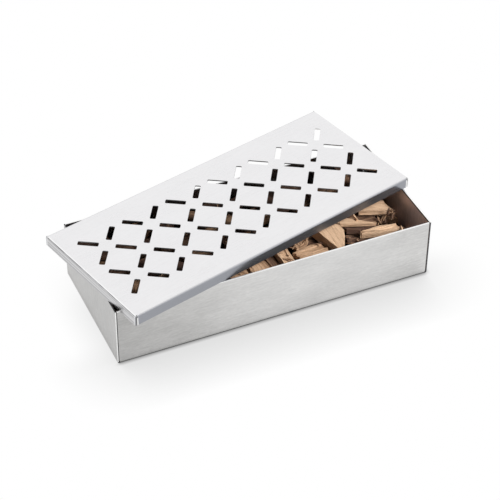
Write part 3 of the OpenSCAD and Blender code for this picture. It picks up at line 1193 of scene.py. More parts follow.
@dataclass
class Lid(FoldedBox):
    """The slotted lid: a shallow box turned over, which lies askew on the tray's rim.

    Args:
        top: Height of the lid's top.
        turn: Angle that it is turned by, seen from above.
        middle: Where its middle lies.
        slot_length: Length of a smoke slot.
        slot_width: Width of a slot.
        slot_round: Radius of a slot's corners.
        pitch: Distance between the middles of slots.
        slots: Slots along the lid and across it.
        side_steps: Steps along a side of a slot's cell.
        rings: Where the rings of a cell lie, from 0 at the slot's outline to 1 at the cell's edge.
    """

    node: str = "lid"
    length: float = 213.6 * MM
    width: float = 93.1 * MM
    height: float = 7 * MM
    # Grey: painted shade in the lid's seams
    raw: CutEdge = CutEdge((0.34, 0.34, 0.35), 0.5)
    bright_from: float = 90 * MM
    flipped: bool = True
    top: float = 48 * MM
    turn: float = math.radians(14.5)
    middle: tuple[float, float] = (-6.2 * MM, 11.5 * MM)
    slot_length: float = 13 * MM
    slot_width: float = 3.7 * MM
    slot_round: float = 0.8 * MM
    pitch: float = 16.5 * MM
    slots: tuple[int, int] = (12, 4)
    side_steps: int = 8
    rings: tuple[float, ...] = (0.0, 0.3, 1.0)

    @property
    def lattice(self) -> Array:
        """Half the length and width of the field of slots."""
        return np.array(self.slots) / 2 * self.pitch

    def finish(self) -> LidSteel:
        """Fine brushed steel with painted highlights and painted shade at the lid's bends and lips.

        Returns:
            The finish.
        """
        end, side = self.floor_half
        side_lip, end_lip = self.wall_half
        return LidSteel(
            "lid_steel",
            (0.84, 0.835, 0.845),
            roughness=0.3,
            contrast=0.4,
            bend_from=end,
            arc=self.arc,
            end_highlight=Mark((0.97, 0.97, 0.97), 0.8, past(end_lip, -1.5, -1.2), past(end_lip, -0.7, -0.4)),
            # Painted dark reflection on the long lips
            side=Mark((0.315, 0.325, 0.355), rise=past(side, -0.3, 1.7)),
            side_highlight=Mark((0.97, 0.97, 0.96), 0.9, past(side_lip, -0.9, -0.7)),
            side_bent_run=past(side + self.arc, 0.0, 0.2),
        )

    def lines(self, axis: int) -> Array:
        """Lines of the blank, with those of the slots' cells in place of the floor's.

        Args:
            axis: 0 for lines across X and 1 for lines across Y.

        Returns:
            Their places, in rising order.
        """
        half = self.lattice[axis]
        cells = np.linspace(-half, half, self.slots[axis] * self.side_steps + 1)
        rest = super().lines(axis)
        rest = rest[np.abs(rest) > self.floor_half[axis] - self.relief - SLACK]
        return self.distinct(np.concatenate([cells, rest]))

    def kept(self, u: Array, v: Array) -> Array:
        """Says what is sheet, apart from the slots' cells."""
        return super().kept(u, v) & ~((np.abs(u) < self.lattice[0]) & (np.abs(v) < self.lattice[1]))

    def slot_quarter(self) -> Array:
        """A quarter of a slot's outline: half its end, a rounded corner and half its long side.

        Returns:
            Rows of u and v, without the last point.
        """
        half = np.array([self.slot_length, self.slot_width]) / 2
        round_steps = self.side_steps // 2
        angles = np.linspace(0, math.pi / 2, round_steps + 1)
        arc = half - self.slot_round + self.slot_round * np.column_stack([np.cos(angles), np.sin(angles)])
        along = np.linspace(half[0] - self.slot_round, 0, self.side_steps - round_steps)[1:-1]
        side = np.column_stack([along, np.full(len(along), half[1])])
        return np.concatenate([[[half[0], 0.0]], arc, side])

    def slot_cell(self) -> tuple[Array, Array]:
        """One square cell with a slot along its diagonal: rings from the slot's outline to the square.

        Returns:
            Its points about its middle, and its cells.
        """
        quarter = self.slot_quarter()
        mirrored = np.concatenate([[[0.0, self.slot_width / 2]], quarter[:0:-1]]) * [-1, 1]
        half_outline = np.concatenate([quarter, mirrored])
        outline = np.concatenate([half_outline, -half_outline]) @ turning(math.pi / 4)
        along = np.linspace(1, -1, self.side_steps + 1)[:-1]
        side = np.column_stack([along, np.ones(self.side_steps)])
        square = [side @ np.linalg.matrix_power(QUARTER_TURN, k) for k in range(4)]
        square = np.concatenate(square) * self.pitch / 2
        points = outline + np.array(self.rings)[:, None, None] * (square - outline)
        index = np.arange(points.shape[0] * len(outline)).reshape(-1, len(outline))
        after = np.roll(index, -1, axis=1)
        cells = np.stack([index[:-1], index[1:], after[1:], after[:-1]], axis=-1)
        return points.reshape(-1, 2), cells.reshape(-1, 4)

    def blank(self) -> tuple[Array, Array]:
        """Lays out the blank, with a cell for each slot that is turned one way or the other by turns.

        Returns:
            Its points as rows of u and v, and its four-sided cells, anticlockwise.
        """
        points, cells = super().blank()
        cell_points, cell_quads = self.slot_cell()
        i, j = np.meshgrid(np.arange(self.slots[0]), np.arange(self.slots[1]), indexing="ij")
        middles = np.stack([i, j], axis=-1).reshape(-1, 1, 2) - (np.array(self.slots) - 1) / 2
        other = ((i + j) % 2 == 1).reshape(-1, 1, 1)
        spread = np.where(other, cell_points @ QUARTER_TURN, cell_points) + middles * self.pitch
        starts = len(points) + len(cell_points) * np.arange(len(spread))[:, None, None]
        return (
            np.concatenate([points, spread.reshape(-1, 2)]),
            np.concatenate([cells, (starts + cell_quads).reshape(-1, 4)]),
        )

    def place(self, points: Array) -> Array:
        """Turns the shallow box over, turns it about the upright and sets it on the rim."""
        return np.column_stack([points[:, :2] @ turning(self.turn) + self.middle, self.top - points[:, 2]])


@dataclass(frozen=True)
class ChipSolid:
    """A chip as the frame holds it.

    Args:
        corners: Its outline seen from above, anticlockwise.
        under: Height of its underside as a number, a rise along X and a rise along Y.
        over: Height of its top, likewise.
    """

    corners: Array
    under: Array
    over: Array

    @staticmethod
    def height(plane: Array, xy: Array) -> Array:
        """Height of a plane over points."""
        return plane[0] + xy @ plane[1:]

    @staticmethod
    def of_node(node: bpy.types.Object) -> list["ChipSolid"]:
        """Reads the chips in a node: each flat top is one chip, and the underside lies below it.

        Args:
            node: A node of the frame with convex chips.

        Returns:
            The chips.
        """
        mesh = node.data
        mesh.calc_loop_triangles()
        points = np.zeros(len(mesh.vertices) * 3, np.float32)
        mesh.vertices.foreach_get("co", points)
        faces = np.zeros(len(mesh.loop_triangles) * 3, np.int32)
        mesh.loop_triangles.foreach_get("vertices", faces)
        faces = points.reshape(-1, 3).astype(float)[faces.reshape(-1, 3)]
        normals = np.cross(faces[:, 1] - faces[:, 0], faces[:, 2] - faces[:, 0])
        rise = normals[:, 2] / np.linalg.norm(normals, axis=1)
        # A top or an underside faces up or down by more than this, and the sides don't
        level = 0.5
        low = np.unique(faces[rise < -level].reshape(-1, 3), axis=0)
        high, index = np.unique(faces[rise > level].reshape(-1, 3), axis=0, return_inverse=True)
        index = index.reshape(-1, 3)
        labels = np.arange(len(high))
        while True:
            least = labels[index].min(axis=1)
            spread = labels.copy()
            np.minimum.at(spread, index.ravel(), np.repeat(least, 3))
            if np.array_equal(spread, labels):
                break
            labels = spread
        return [ChipSolid._from_faces(high[labels == k], low) for k in np.unique(labels)]

    @staticmethod
    def _from_faces(high: Array, low: Array) -> "ChipSolid":
        """Puts a top's corners in order and finds the underside's corners below them.

        Args:
            high: Corners of the top.
            low: Corners of the undersides of all chips in the node.

        Returns:
            The chip.
        """
        around = high[:, :2] - high[:, :2].mean(axis=0)
        high = high[np.argsort(np.arctan2(around[:, 1], around[:, 0]))]
        apart = np.linalg.norm(high[:, None, :2] - low[None, :, :2], axis=2)
        below = low[np.argmin(apart, axis=1)]
        design = np.column_stack([np.ones(len(high)), high[:, :2]])
        over = np.linalg.lstsq(design, high[:, 2], rcond=None)[0]
        under = np.linalg.lstsq(design, below[:, 2], rcond=None)[0]
        return ChipSolid(high[:, :2], under, over)

    def outline(self, steps: int) -> Array:
        """Goes along the outline in even steps, with a point at each corner.

        Args:
            steps: How many.

        Returns:
            Rows of x and y.
        """
        closed = np.concatenate([self.corners, self.corners[:1]])
        lengths = np.linalg.norm(np.diff(closed, axis=0), axis=1)
        reached = np.concatenate([[0.0], np.cumsum(lengths)])
        places = np.arange(steps) / steps * reached[-1]
        places[np.round(reached[:-1] / reached[-1] * steps).astype(int) % steps] = reached[:-1]
        return np.column_stack([np.interp(places, reached, closed[:, k]) for k in range(2)])

    def holds(self, xy: Array) -> Array:
        """Finds the points within the outline, which lie on the left of all its sides.

        Args:
            xy: Rows of x and y.

        Returns:
            True for those points.
        """
        ahead = np.roll(self.corners, -1, axis=0) - self.corners
        to_point = xy[:, None, :] - self.corners
        return np.all(ahead[:, 0] * to_point[..., 1] - ahead[:, 1] * to_point[..., 0] >= 0, axis=1)


@dataclass
class BedLevel:
    """Heights of the pile on a grid, seen from above.

    Args:
        low: Place of the grid's first point.
        step: Distance between its points.
        heights: Height of the pile at each point.
    """

    low: Array
    step: float
    heights: Array

    @staticmethod
    def over(solids: list[ChipSolid], half: Array, step: float) -> "BedLevel":
        """Takes the top of the highest chip at each point.

        Args:
            solids: The chips.
            half: Half the length and width of the grid.
            step: Distance between points.

        Returns:
            The heights, which are 0 where there is no chip.
        """
        places = np.meshgrid(*[np.arange(-reach, reach, step) for reach in half], indexing="ij")
        xy = np.stack(places, axis=-1).reshape(-1, 2)
        heights = [np.where(s.holds(xy), ChipSolid.height(s.over, xy), 0.0) for s in solids]
        return BedLevel(-half, step, np.max(heights, axis=0).reshape(places[0].shape))

    def cells(self, xy: Array) -> tuple[Array, Array]:
        """Finds the grid point nearest to each place.

        Args:
            xy: Rows of x and y.

        Returns:
            Its two indices.
        """
        index = np.rint((xy - self.low) / self.step).astype(int)
        index = np.clip(index, 0, np.array(self.heights.shape) - 1)
        return index[:, 0], index[:, 1]

    def at(self, xy: Array) -> Array:
        """Height of the pile at places."""
        return self.heights[self.cells(xy)]

    def lay(self, xy: Array, tops: Array) -> None:
        """Raises the pile to what has been laid on it."""
        np.maximum.at(self.heights, self.cells(xy), tops)

    def evened(self, reach: int) -> "BedLevel":
        """Takes the mean over a square round each point, twice.

        Args:
            reach: Points on each side of the middle.

        Returns:
            The smoother heights.
        """
        even = self.heights
        for axis in (0, 1, 0, 1):
            edges = [(reach + 1, reach) if k == axis else (0, 0) for k in range(2)]
            total = np.cumsum(np.pad(even, edges, mode="edge"), axis=axis)
            count = even.shape[axis]
            ahead = np.take(total, np.arange(count) + 2 * reach + 1, axis=axis)
            behind = np.take(total, np.arange(count), axis=axis)
            even = (ahead - behind) / (2 * reach + 1)
        return BedLevel(self.low, self.step, even)

    def sunk(self, points: Array, depths: Span) -> Array:
        """Says how deep points lie below the level, from 0 at one depth to 1 at another."""
        below = self.at(points[:, :2]) - points[:, 2]
        return np.clip((below - depths[0]) / (depths[1] - depths[0]), 0, 1)


@dataclass
class ChipPile:
    """The wood chips: split blocks with splintered ends, fibrous sides and stepped tops.

    Args:
        body: Body that they ride on.
        slot: Material slot of the record.
        splinter: Longest fibres at a broken end.
        splinter_share: Their length as a share of a short chip's length.
        splinter_spread: Share of that length that changes from fibre to fibre.
        split: Depth of the steps in a split side.
        step: Height of the steps on a top.
        fibre: Height of the fibres on a top.
        fibre_mean: Mean level of the fibres below the top.
        under_share: Share of the fibres' height that the underside has.
        full_thick: Thickness from which a chip has steps of full height.
        lean: Spread of the angle between a chip's grain and its length.
        facing: How far an outline faces along the grain where its broken ends begin and are full.
        edge_power: Power of the share of the way out that keeps breaks at the outline.
        ragged: Noise of the broken ends, across the grain, up and along it.
        layers: Noise of the split sides, along the grain, up and across it.
        terraces: Noise of the steps on a top, along the grain and across it.
        fibres: Noise of the fibres, likewise.
        high_step: Levels of the terraces at which the first step begins and ends.
        low_step: Levels below their middle at which the second step does.
        low_share: Height of the second step as a share of the first.
        step_hollow: How far the steps count as hollows, which take painted shade.
        fibre_hollow: How far the low fibres do.
        split_hollow: How far the split sides do.
        ring_lean: Least and greatest angle of the yearly rings to the chip's top.
        grain_spread: How far apart chips lie in the wood that they come from.
        tone_spread: Spread of the tone.
        sharp: Angle between faces from which an edge is sharp.
        tones: Ends of the names of the chips of each tone at the open corner and below the others; the dark
            lower layers are partly painted shade.
        other_tones: Tones that the other chips take by turns, mostly dark, partly as painted shade under
            the lid.
        smooth: Share of the steps and fibres that a smoothly split chip keeps.
        bed_half: Half the length and width of the bed.
        bed_step: Distance between the points at which its height is known.
        bed_reach: Points on each side over which it is evened for the gaps.
        gap_shade_depths: Depths below the evened bed at which the painted shade of the gaps begins and is
            darkest.
    """

    body: str = "tray"
    slot: str = "chip_wood"
    splinter: float = 2.2 * MM
    splinter_share: float = 0.09
    splinter_spread: float = 0.6
    split: float = 0.6 * MM
    step: float = 0.7 * MM
    fibre: float = 0.12 * MM
    fibre_mean: float = 0.6
    under_share: float = 0.5
    full_thick: float = 4 * MM
    lean: float = math.radians(5)
    facing: Span = (0.35, 0.85)
    edge_power: int = 7
    ragged: tuple[Relief, ...] = (Relief(0.6, (0.8, 0.7, 40.0)), Relief(0.5, (2.6, 1.7, 40.0), 7.0))
    layers: tuple[Relief, ...] = (Relief(0.5, (16.0, 0.9, 30.0), 3.0), Relief(0.35, (5.0, 0.4), 9.0))
    terraces: tuple[Relief, ...] = (Relief(1.0, (26.0, 3.6), 1.0), Relief(0.4, (9.0, 1.2), 5.0))
    fibres: tuple[Relief, ...] = (Relief(1.0, (15.0, 0.55), 13.0), Relief(0.6, (7.0, 0.27), 17.0))
    high_step: Span = (0.18, 0.3)
    low_step: Span = (0.28, 0.4)
    low_share: float = 0.6
    step_hollow: float = 0.45
    fibre_hollow: float = 0.3
    split_hollow: float = 0.5
    ring_lean: Span = (0.3, 1.3)
    grain_spread: float = 0.4
    tone_spread: float = 0.05
    sharp: float = math.radians(50)
    tones: tuple[tuple[ChipTone, tuple[str, ...]], ...] = (
        (ChipTone.PALE, ("27", "28", "29", "31", "37", "38")),
        (ChipTone.PALE, ("end_01", "end_02", "end_03", "end_04", "end_05")),
        (ChipTone.TAN, ("32", "33", "34", "36")),
        (ChipTone.BROWN, ("35",)),
        # The lower layers are dark, partly as painted shade
        (ChipTone.DARK, ("30", "bottom", "middle")),
    )
    # Chips under the lid take dark tones, partly as painted shade
    other_tones: tuple[ChipTone, ...] = (ChipTone.BROWN, ChipTone.DARK, ChipTone.DARK, ChipTone.BARK)
    smooth: dict[str, float] = field(
        default_factory=lambda: {"wood_chip_27": 0.2, "wood_chip_29": 0.25, "wood_chip_37": 0.15}
    )
    bed_half: tuple[float, float] = (104 * MM, 44 * MM)
    bed_step: float = 0.5 * MM
    bed_reach: int = 5
    gap_shade_depths: Span = (0.6 * MM, 5 * MM)

    @staticmethod
    def profile(detail: ChipDetail) -> tuple[Array, Array]:
        """The path from the middle of a chip's top over its edge and down to the middle of its underside.

        Args:
            detail: Steps of the grid.

        Returns:
            Shares of the way out from the middle, and shares of the height.
        """
        _, top, side, under = detail.value
        first, last = 0.06, 0.985
        upper, lower = 0.95, 0.05
        share = [np.linspace(first, last, top), np.ones(side), np.linspace(last, first, under)]
        level = [np.ones(top), np.linspace(upper, lower, side), np.zeros(under)]
        return np.concatenate(share), np.concatenate(level)

    def chip(
        self, solid: ChipSolid, detail: ChipDetail, tone: float, rough: float, seed: int
    ) -> MeshParts:
        """One chip: spokes from its middle follow the profile, and noise along its grain breaks its
        ends into fibres, its sides into split steps and its top into layers.

        Args:
            solid: The chip in the frame.
            detail: Steps of its grid.
            tone: How light it is.
            rough: Share of the steps and fibres that its top has.
            seed: Sets it apart from other chips.

        Returns:
            A closed mesh with its grain coordinates, tone, ends and hollows.
        """
        rng = np.random.default_rng(seed)
        noise = Noise(seed)
        outline = solid.outline(detail.value[0])
        middle = outline.mean(axis=0)
        spokes = outline - middle
        share, level = self.profile(detail)
        xy = middle + share[:, None] * spokes[:, None, :]
        low = ChipSolid.height(solid.under, xy)
        rise = ChipSolid.height(solid.over, xy) - low
        z = low + rise * level

        # The grain follows the chip's length, and its ends are where the outline faces along it
        grain = np.linalg.eigh(spokes.T @ spokes)[1][:, 1] @ turning(rng.normal(0, self.lean))
        along = (xy - middle) @ grain
        aside = (xy - middle) @ (grain @ QUARTER_TURN)
        up = z - z.mean()
        tangent = np.roll(outline, -1, axis=0) - np.roll(outline, 1, axis=0)
        outward = np.column_stack([tangent[:, 1], -tangent[:, 0]])
        outward /= np.linalg.norm(outward, axis=1, keepdims=True)
        faces = (outward @ grain)[:, None]
        ends = smooth_step(self.facing, np.abs(faces)) * np.ones_like(along)
        edge = share**self.edge_power

        # Broken ends are cut back by ragged lengths, and split sides are pulled in by layers
        size = min(1.0, float(rise.mean()) / self.full_thick)
        length = min(self.splinter, self.splinter_share * float(np.ptp(along)))
        ragged = noise.layered(self.ragged, aside, up, along)
        ragged = 1 - self.splinter_spread + self.splinter_spread * ragged
        cut_back = -length * ragged * ends * edge * np.sign(faces)
        layers = np.clip(0.5 + noise.layered(self.layers, along, up, aside), 0, 1) * (1 - ends)
        pull_in = -self.split * size * layers * edge

        # The top drops in two steps and in fibres
        terraces = noise.layered(self.terraces, along, aside)
        low_steps = self.low_share * smooth_step(self.low_step, -terraces)
        steps = rough * (smooth_step(self.high_step, terraces) + low_steps)
        fibres = rough * noise.layered(self.fibres, along, aside)
        drop = size * (self.step * steps + self.fibre * (self.fibre_mean - fibres))
        z = z - drop * level + self.under_share * self.fibre * size * fibres * (1 - level)

        shift = cut_back[..., None] * grain + pull_in[..., None] * outward[:, None, :]
        points = np.concatenate([xy + shift, z[..., None]], axis=-1)
        # Painted shade on the lower steps and the split sides
        hollow = np.clip((self.step_hollow * steps - self.fibre_hollow * fibres) * level, 0, 1)
        hollow += self.split_hollow * layers * (share == 1)

        ring_lean = rng.uniform(*self.ring_lean)
        ring = aside * math.cos(ring_lean) + up * math.sin(ring_lean)
        cross = up * math.cos(ring_lean) - aside * math.sin(ring_lean)
        place = rng.uniform(-self.grain_spread, self.grain_spread, 3)
        fields = {
            "grain": np.stack([along, ring, cross], axis=-1) + place,
            "tone": np.full_like(along, tone + rng.normal(0, self.tone_spread)),
            "ends": ends * edge,
            "hollow": hollow,
        }
        return self.closed_grid(points, fields)

    @staticmethod
    def closed_grid(points: Array, fields: dict[str, Array]) -> MeshParts:
        """Closes a grid that runs round a shape, with a point at its first and last rings' middles.

        Args:
            points: Points, by step round the shape and step along the profile.
            fields: Named numbers or vectors at the points.

        Returns:
            A closed mesh.
        """
        around, steps = points.shape[:2]
        index = np.arange(around * steps).reshape(around, steps)
        after = np.roll(index, -1, axis=0)
        quads = np.stack([index[:, :-1], index[:, 1:], after[:, 1:], after[:, :-1]], axis=-1)
        first, last = (np.full(around, around * steps + k) for k in range(2))
        caps = [
            np.column_stack([first, index[:, 0], after[:, 0]]),
            np.column_stack([last, after[:, -1], index[:, -1]]),
        ]

        def with_poles(values: Array) -> Array:
            """Adds the means of the first and last rings."""
            flat = values.reshape(around * steps, *values.shape[2:])
            return np.concatenate([flat, values[:, :1].mean(axis=0), values[:, -1:].mean(axis=0)])

        values = {name: with_poles(numbers) for name, numbers in fields.items()}
        return MeshParts(with_poles(points), quads.reshape(-1, 4), np.concatenate(caps), values)

    def bed(self, found: dict[str, list[ChipSolid]]) -> BedLevel:
        """Takes the heights of all chips over the tray's floor."""
        solids = [solid for chips in found.values() for solid in chips]
        return BedLevel.over(solids, np.array(self.bed_half), self.bed_step)

    def tone(self, name: str, number: int) -> ChipTone:
        """Finds the tone of a node.

        Args:
            name: Name of the node.
            number: Its place among the nodes.

        Returns:
            The tone that its name has, or else the next of the other tones.
        """
        named = (tone for tone, name_ends in self.tones if name.endswith(name_ends))
        return next(named, self.other_tones[number % len(self.other_tones)])

    def build(
        self, nodes: dict[str, bpy.types.Object], material: bpy.types.Material
    ) -> dict[str, list[ChipSolid]]:
        """Makes a piece for each node of chips, and hides the node.

        Args:
            nodes: All nodes of the frame.
            material: Finish of the wood.

        Returns:
            The chips as the frame holds them, by node.
        """
        names = sorted(name for name in nodes if name.startswith("wood_chip"))
        found = {name: ChipSolid.of_node(nodes[name]) for name in names}
        level = self.bed(found).evened(self.bed_reach)
        for number, name in enumerate(names):
            solids = found[name]
            detail = ChipDetail.FINE if len(solids) == 1 else ChipDetail.COARSE
            tone = self.tone(name, number).value
            rough = self.smooth.get(name, 1.0)
            parts = [
                self.chip(solid, detail, tone, rough, 100 * number + k) for k, solid in enumerate(solids)
            ]
            whole = MeshParts.joined(parts)
            # Painted shade in the gaps: how deep each point lies below the evened bed
            whole.values["sunk"] = level.sunk(whole.points, self.gap_shade_depths)
            piece = whole.piece(f"{name}_split", [material], self.body, self.slot)
            piece.data.set_sharp_from_angle(angle=self.sharp)
            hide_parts(name)
        return found


@dataclass(frozen=True)
class Sliver:
    """A splinter that has come off a chip, with its sizes in millimetres.

    Args:
        start: Where it starts, seen from above.
        end: Where it ends.
        width: Its width in the middle.
        tone: How light it is.
        bow: How far its middle is bent aside.
    """

    start: tuple[float, float]
    end: tuple[float, float]
    width: float
    tone: ChipTone
    bow: float = 0.0


@dataclass(frozen=True)
class Heap:
    """An area that slivers and crumbs are strewn over, with its sizes in millimetres.

    Args:
        low: Its corner with the lowest coordinates.
        high: Its opposite corner.
        count: How many are strewn there.
        length: Least length of one, and how much longer the longest is.
        width: Width of the thinnest.
        bare: Chips that they keep off.
        tones: Tones that they take by turns.
    """

    low: tuple[float, float]
    high: tuple[float, float]
    count: int
    length: tuple[float, float] = (1.5, 8.5)
    width: float = 0.45
    bare: tuple[str, ...] = tuple(f"wood_chip_{number}" for number in (27, 28, 29, 32, 37))
    tones: tuple[ChipTone, ...] = (
        ChipTone.PALE,
        ChipTone.TAN,
        ChipTone.BROWN,
        ChipTone.TAN,
        ChipTone.DARK,
    )


@dataclass
class Litter:
    """Slivers and crumbs of wood that lie on the chips and in the gaps between them.

    Args:
        body: Body that they ride on.
        slot: Material slot of the record.
        slivers: Those that show at the open corner.
        heaps: Areas that others are strewn over: the bed, the open corner and two tufts of fibres.
        heap_seed: Seed of the first heap.
        shortness: Power of the chance that makes most of them short.
        widening: Width that one gains by its length.
        width_spread: How much wider the widest is by chance.
        bow_spread: Spread of the bow, as a share of the length.
        steps: Steps along a sliver.
        sides: Sides of its section.
        sliver_seed: Seed of the first sliver.
        steepest: Steepest rise of one.
        blunt: Share of its taper that is left off at each end.
        fullness: Power of the taper, which is blunter below 1.
        ragged: Least and greatest share of its width from step to step.
        thick: Thickness of a sliver as a share of its width.
        seat: Height of its middle above what it lies on, as a share of half its thickness.
        grain_spread: How far apart slivers lie in the wood that they come from.
        tone_spread: Spread of the tone.
    """

    body: str = "tray"
    slot: str = "chip_wood"
    slivers: tuple[Sliver, ...] = (
        Sliver((58.8, -14.8), (59.9, -23.9), 1.0, ChipTone.PALE, 0.4),
        Sliver((57.6, -12.0), (57.8, -19.7), 0.9, ChipTone.DARK),
        Sliver((58.4, -21.0), (60.6, -27.6), 1.0, ChipTone.TAN, -0.5),
        Sliver((65.4, -22.3), (65.0, -28.0), 1.5, ChipTone.PALE),
        Sliver((58.0, -25.5), (60.5, -33.5), 1.3, ChipTone.BROWN),
        Sliver((63.5, -22.0), (66.0, -31.0), 1.2, ChipTone.DARK, 0.6),
        Sliver((34.2, -20.8), (37.4, -25.4), 0.9, ChipTone.BARK, 1.6),
        Sliver((38.2, -21.2), (41.6, -22.8), 0.8, ChipTone.BARK, -0.5),
        Sliver((22.2, -18.9), (29.2, -15.6), 0.9, ChipTone.PALE, 0.5),
        Sliver((26.6, -19.7), (32.9, -15.1), 0.8, ChipTone.BROWN, -0.6),
        Sliver((29.8, -14.6), (33.5, -17.5), 0.8, ChipTone.PALE, 0.5),
    )
    heaps: tuple[Heap, ...] = (
        Heap((-100.0, -40.0), (101.0, 40.0), 85),
        Heap((10.0, -40.0), (101.0, 0.0), 70),
        Heap(
            (85.0, -18.0),
            (99.0, -9.5),
            42,
            (2.5, 5.5),
            0.6,
            ("wood_chip_27",),
            (ChipTone.DARK, ChipTone.BROWN, ChipTone.DARK, ChipTone.BROWN, ChipTone.BARK),
        ),
        Heap((21.0, -21.0), (34.0, -13.0), 24, (2.0, 5.0), 0.3),
    )
    heap_seed: int = 7
    shortness: float = 2.2
    widening: float = 0.08
    width_spread: float = 0.35
    bow_spread: float = 0.08
    steps: int = 9
    sides: int = 6
    sliver_seed: int = 1000
    steepest: float = 0.6
    blunt: float = 0.06
    fullness: float = 0.6
    ragged: Span = (0.75, 1.15)
    thick: float = 0.55
    seat: float = 0.8
    grain_spread: float = 0.4
    tone_spread: float = 0.06

    def strewn(self, heap: Heap, clean: list[ChipSolid], seed: int) -> list[Sliver]:
        """Strews slivers and crumbs over an area by chance.

        Args:
            heap: The area.
            clean: Chips that they keep off.
            seed: Sets this heap apart from others.

        Returns:
            The slivers, most of them short.
        """
        rng = np.random.default_rng(seed)
        low, high = np.array(heap.low), np.array(heap.high)
        middle = low + rng.random((heap.count, 2)) * (high - low)
        length = heap.length[0] + heap.length[1] * rng.random(heap.count) ** self.shortness
        heading = rng.uniform(0, math.pi, heap.count)
        half = 0.5 * length[:, None] * np.column_stack([np.cos(heading), np.sin(heading)])
        start = np.clip(middle - half, low, high)
        end = np.clip(middle + half, low, high)
        width = heap.width + self.widening * length + self.width_spread * rng.random(heap.count)
        bow = rng.normal(0, self.bow_spread, heap.count) * length
        places = np.stack([start, middle, end]).reshape(-1, 2) * MM
        on_clean = [chip.holds(places).reshape(3, -1).any(axis=0) for chip in clean]
        return [
            Sliver(tuple(start[k]), tuple(end[k]), width[k], heap.tones[k % len(heap.tones)], bow[k])
            for k in np.flatnonzero(~np.any(on_clean, axis=0))
        ]

    def sliver(self, shape: Sliver, bed: BedLevel, seed: int) -> MeshParts:
        """One sliver: a flattened section that tapers to both ends, carried along a bowed path, and let
        down until it touches the chips below it.

        Args:
            shape: Its place and size.
            bed: The pile that it lies on, which it is added to.
            seed: Sets it apart from other slivers.

        Returns:
            A closed mesh.
        """
        rng = np.random.default_rng(seed)
        start, end = np.array(shape.start) * MM, np.array(shape.end) * MM
        length = float(np.linalg.norm(end - start))
        across = (end - start) / length @ QUARTER_TURN
        t = np.linspace(0, 1, self.steps)
        path = start + t[:, None] * (end - start) + (shape.bow * MM * np.sin(math.pi * t))[:, None] * across
        tops = bed.at(path)
        slope = np.clip((tops[-1] - tops[0]) / length, -self.steepest, self.steepest)
        line = slope * length * t
        line += np.max(tops - line)
        taper = np.sin(math.pi * (self.blunt + (1 - 2 * self.blunt) * t)) ** self.fullness
        taper *= rng.uniform(*self.ragged, self.steps)
        turn = np.arange(self.sides) / self.sides * 2 * math.pi + rng.uniform(0, 1)
        half = shape.width * MM / 2
        wide = np.outer(np.cos(turn), half * taper)
        high = np.outer(np.sin(turn), half * taper * self.thick)
        xy = path[None] + wide[..., None] * across
        z = line + high + self.seat * half * self.thick
        bed.lay(path, line + 2 * self.seat * half * self.thick * taper)
        grain = np.stack([np.broadcast_to(t * length, wide.shape), wide, high], axis=-1)
        fields = {
            "grain": grain + rng.uniform(-self.grain_spread, self.grain_spread, 3),
            "tone": np.full(wide.shape, shape.tone.value + rng.normal(0, self.tone_spread)),
            **{name: np.zeros(wide.shape) for name in ("ends", "hollow", "sunk")},
        }
        points = np.concatenate([xy, z[..., None]], axis=-1)
        outward = {name: value[::-1] for name, value in fields.items()}
        return ChipPile.closed_grid(points[::-1], outward)

    def build(
        self, chips: dict[str, list[ChipSolid]], bed: BedLevel, material: bpy.types.Material
    ) -> None:
        """Makes one piece of all the slivers and crumbs.

        Args:
            chips: The chips that they lie on, by node.
            bed: Heights of these chips.
            material: Finish of the wood.
        """
        shapes = list(self.slivers)
        for number, heap in enumerate(self.heaps):
            clean = [solid for name in heap.bare for solid in chips[name]]
            shapes += self.strewn(heap, clean, self.heap_seed + number)
        parts = [self.sliver(shape, bed, self.sliver_seed + k) for k, shape in enumerate(shapes)]
        MeshParts.joined(parts).piece("wood_slivers", [material], self.body, self.slot)


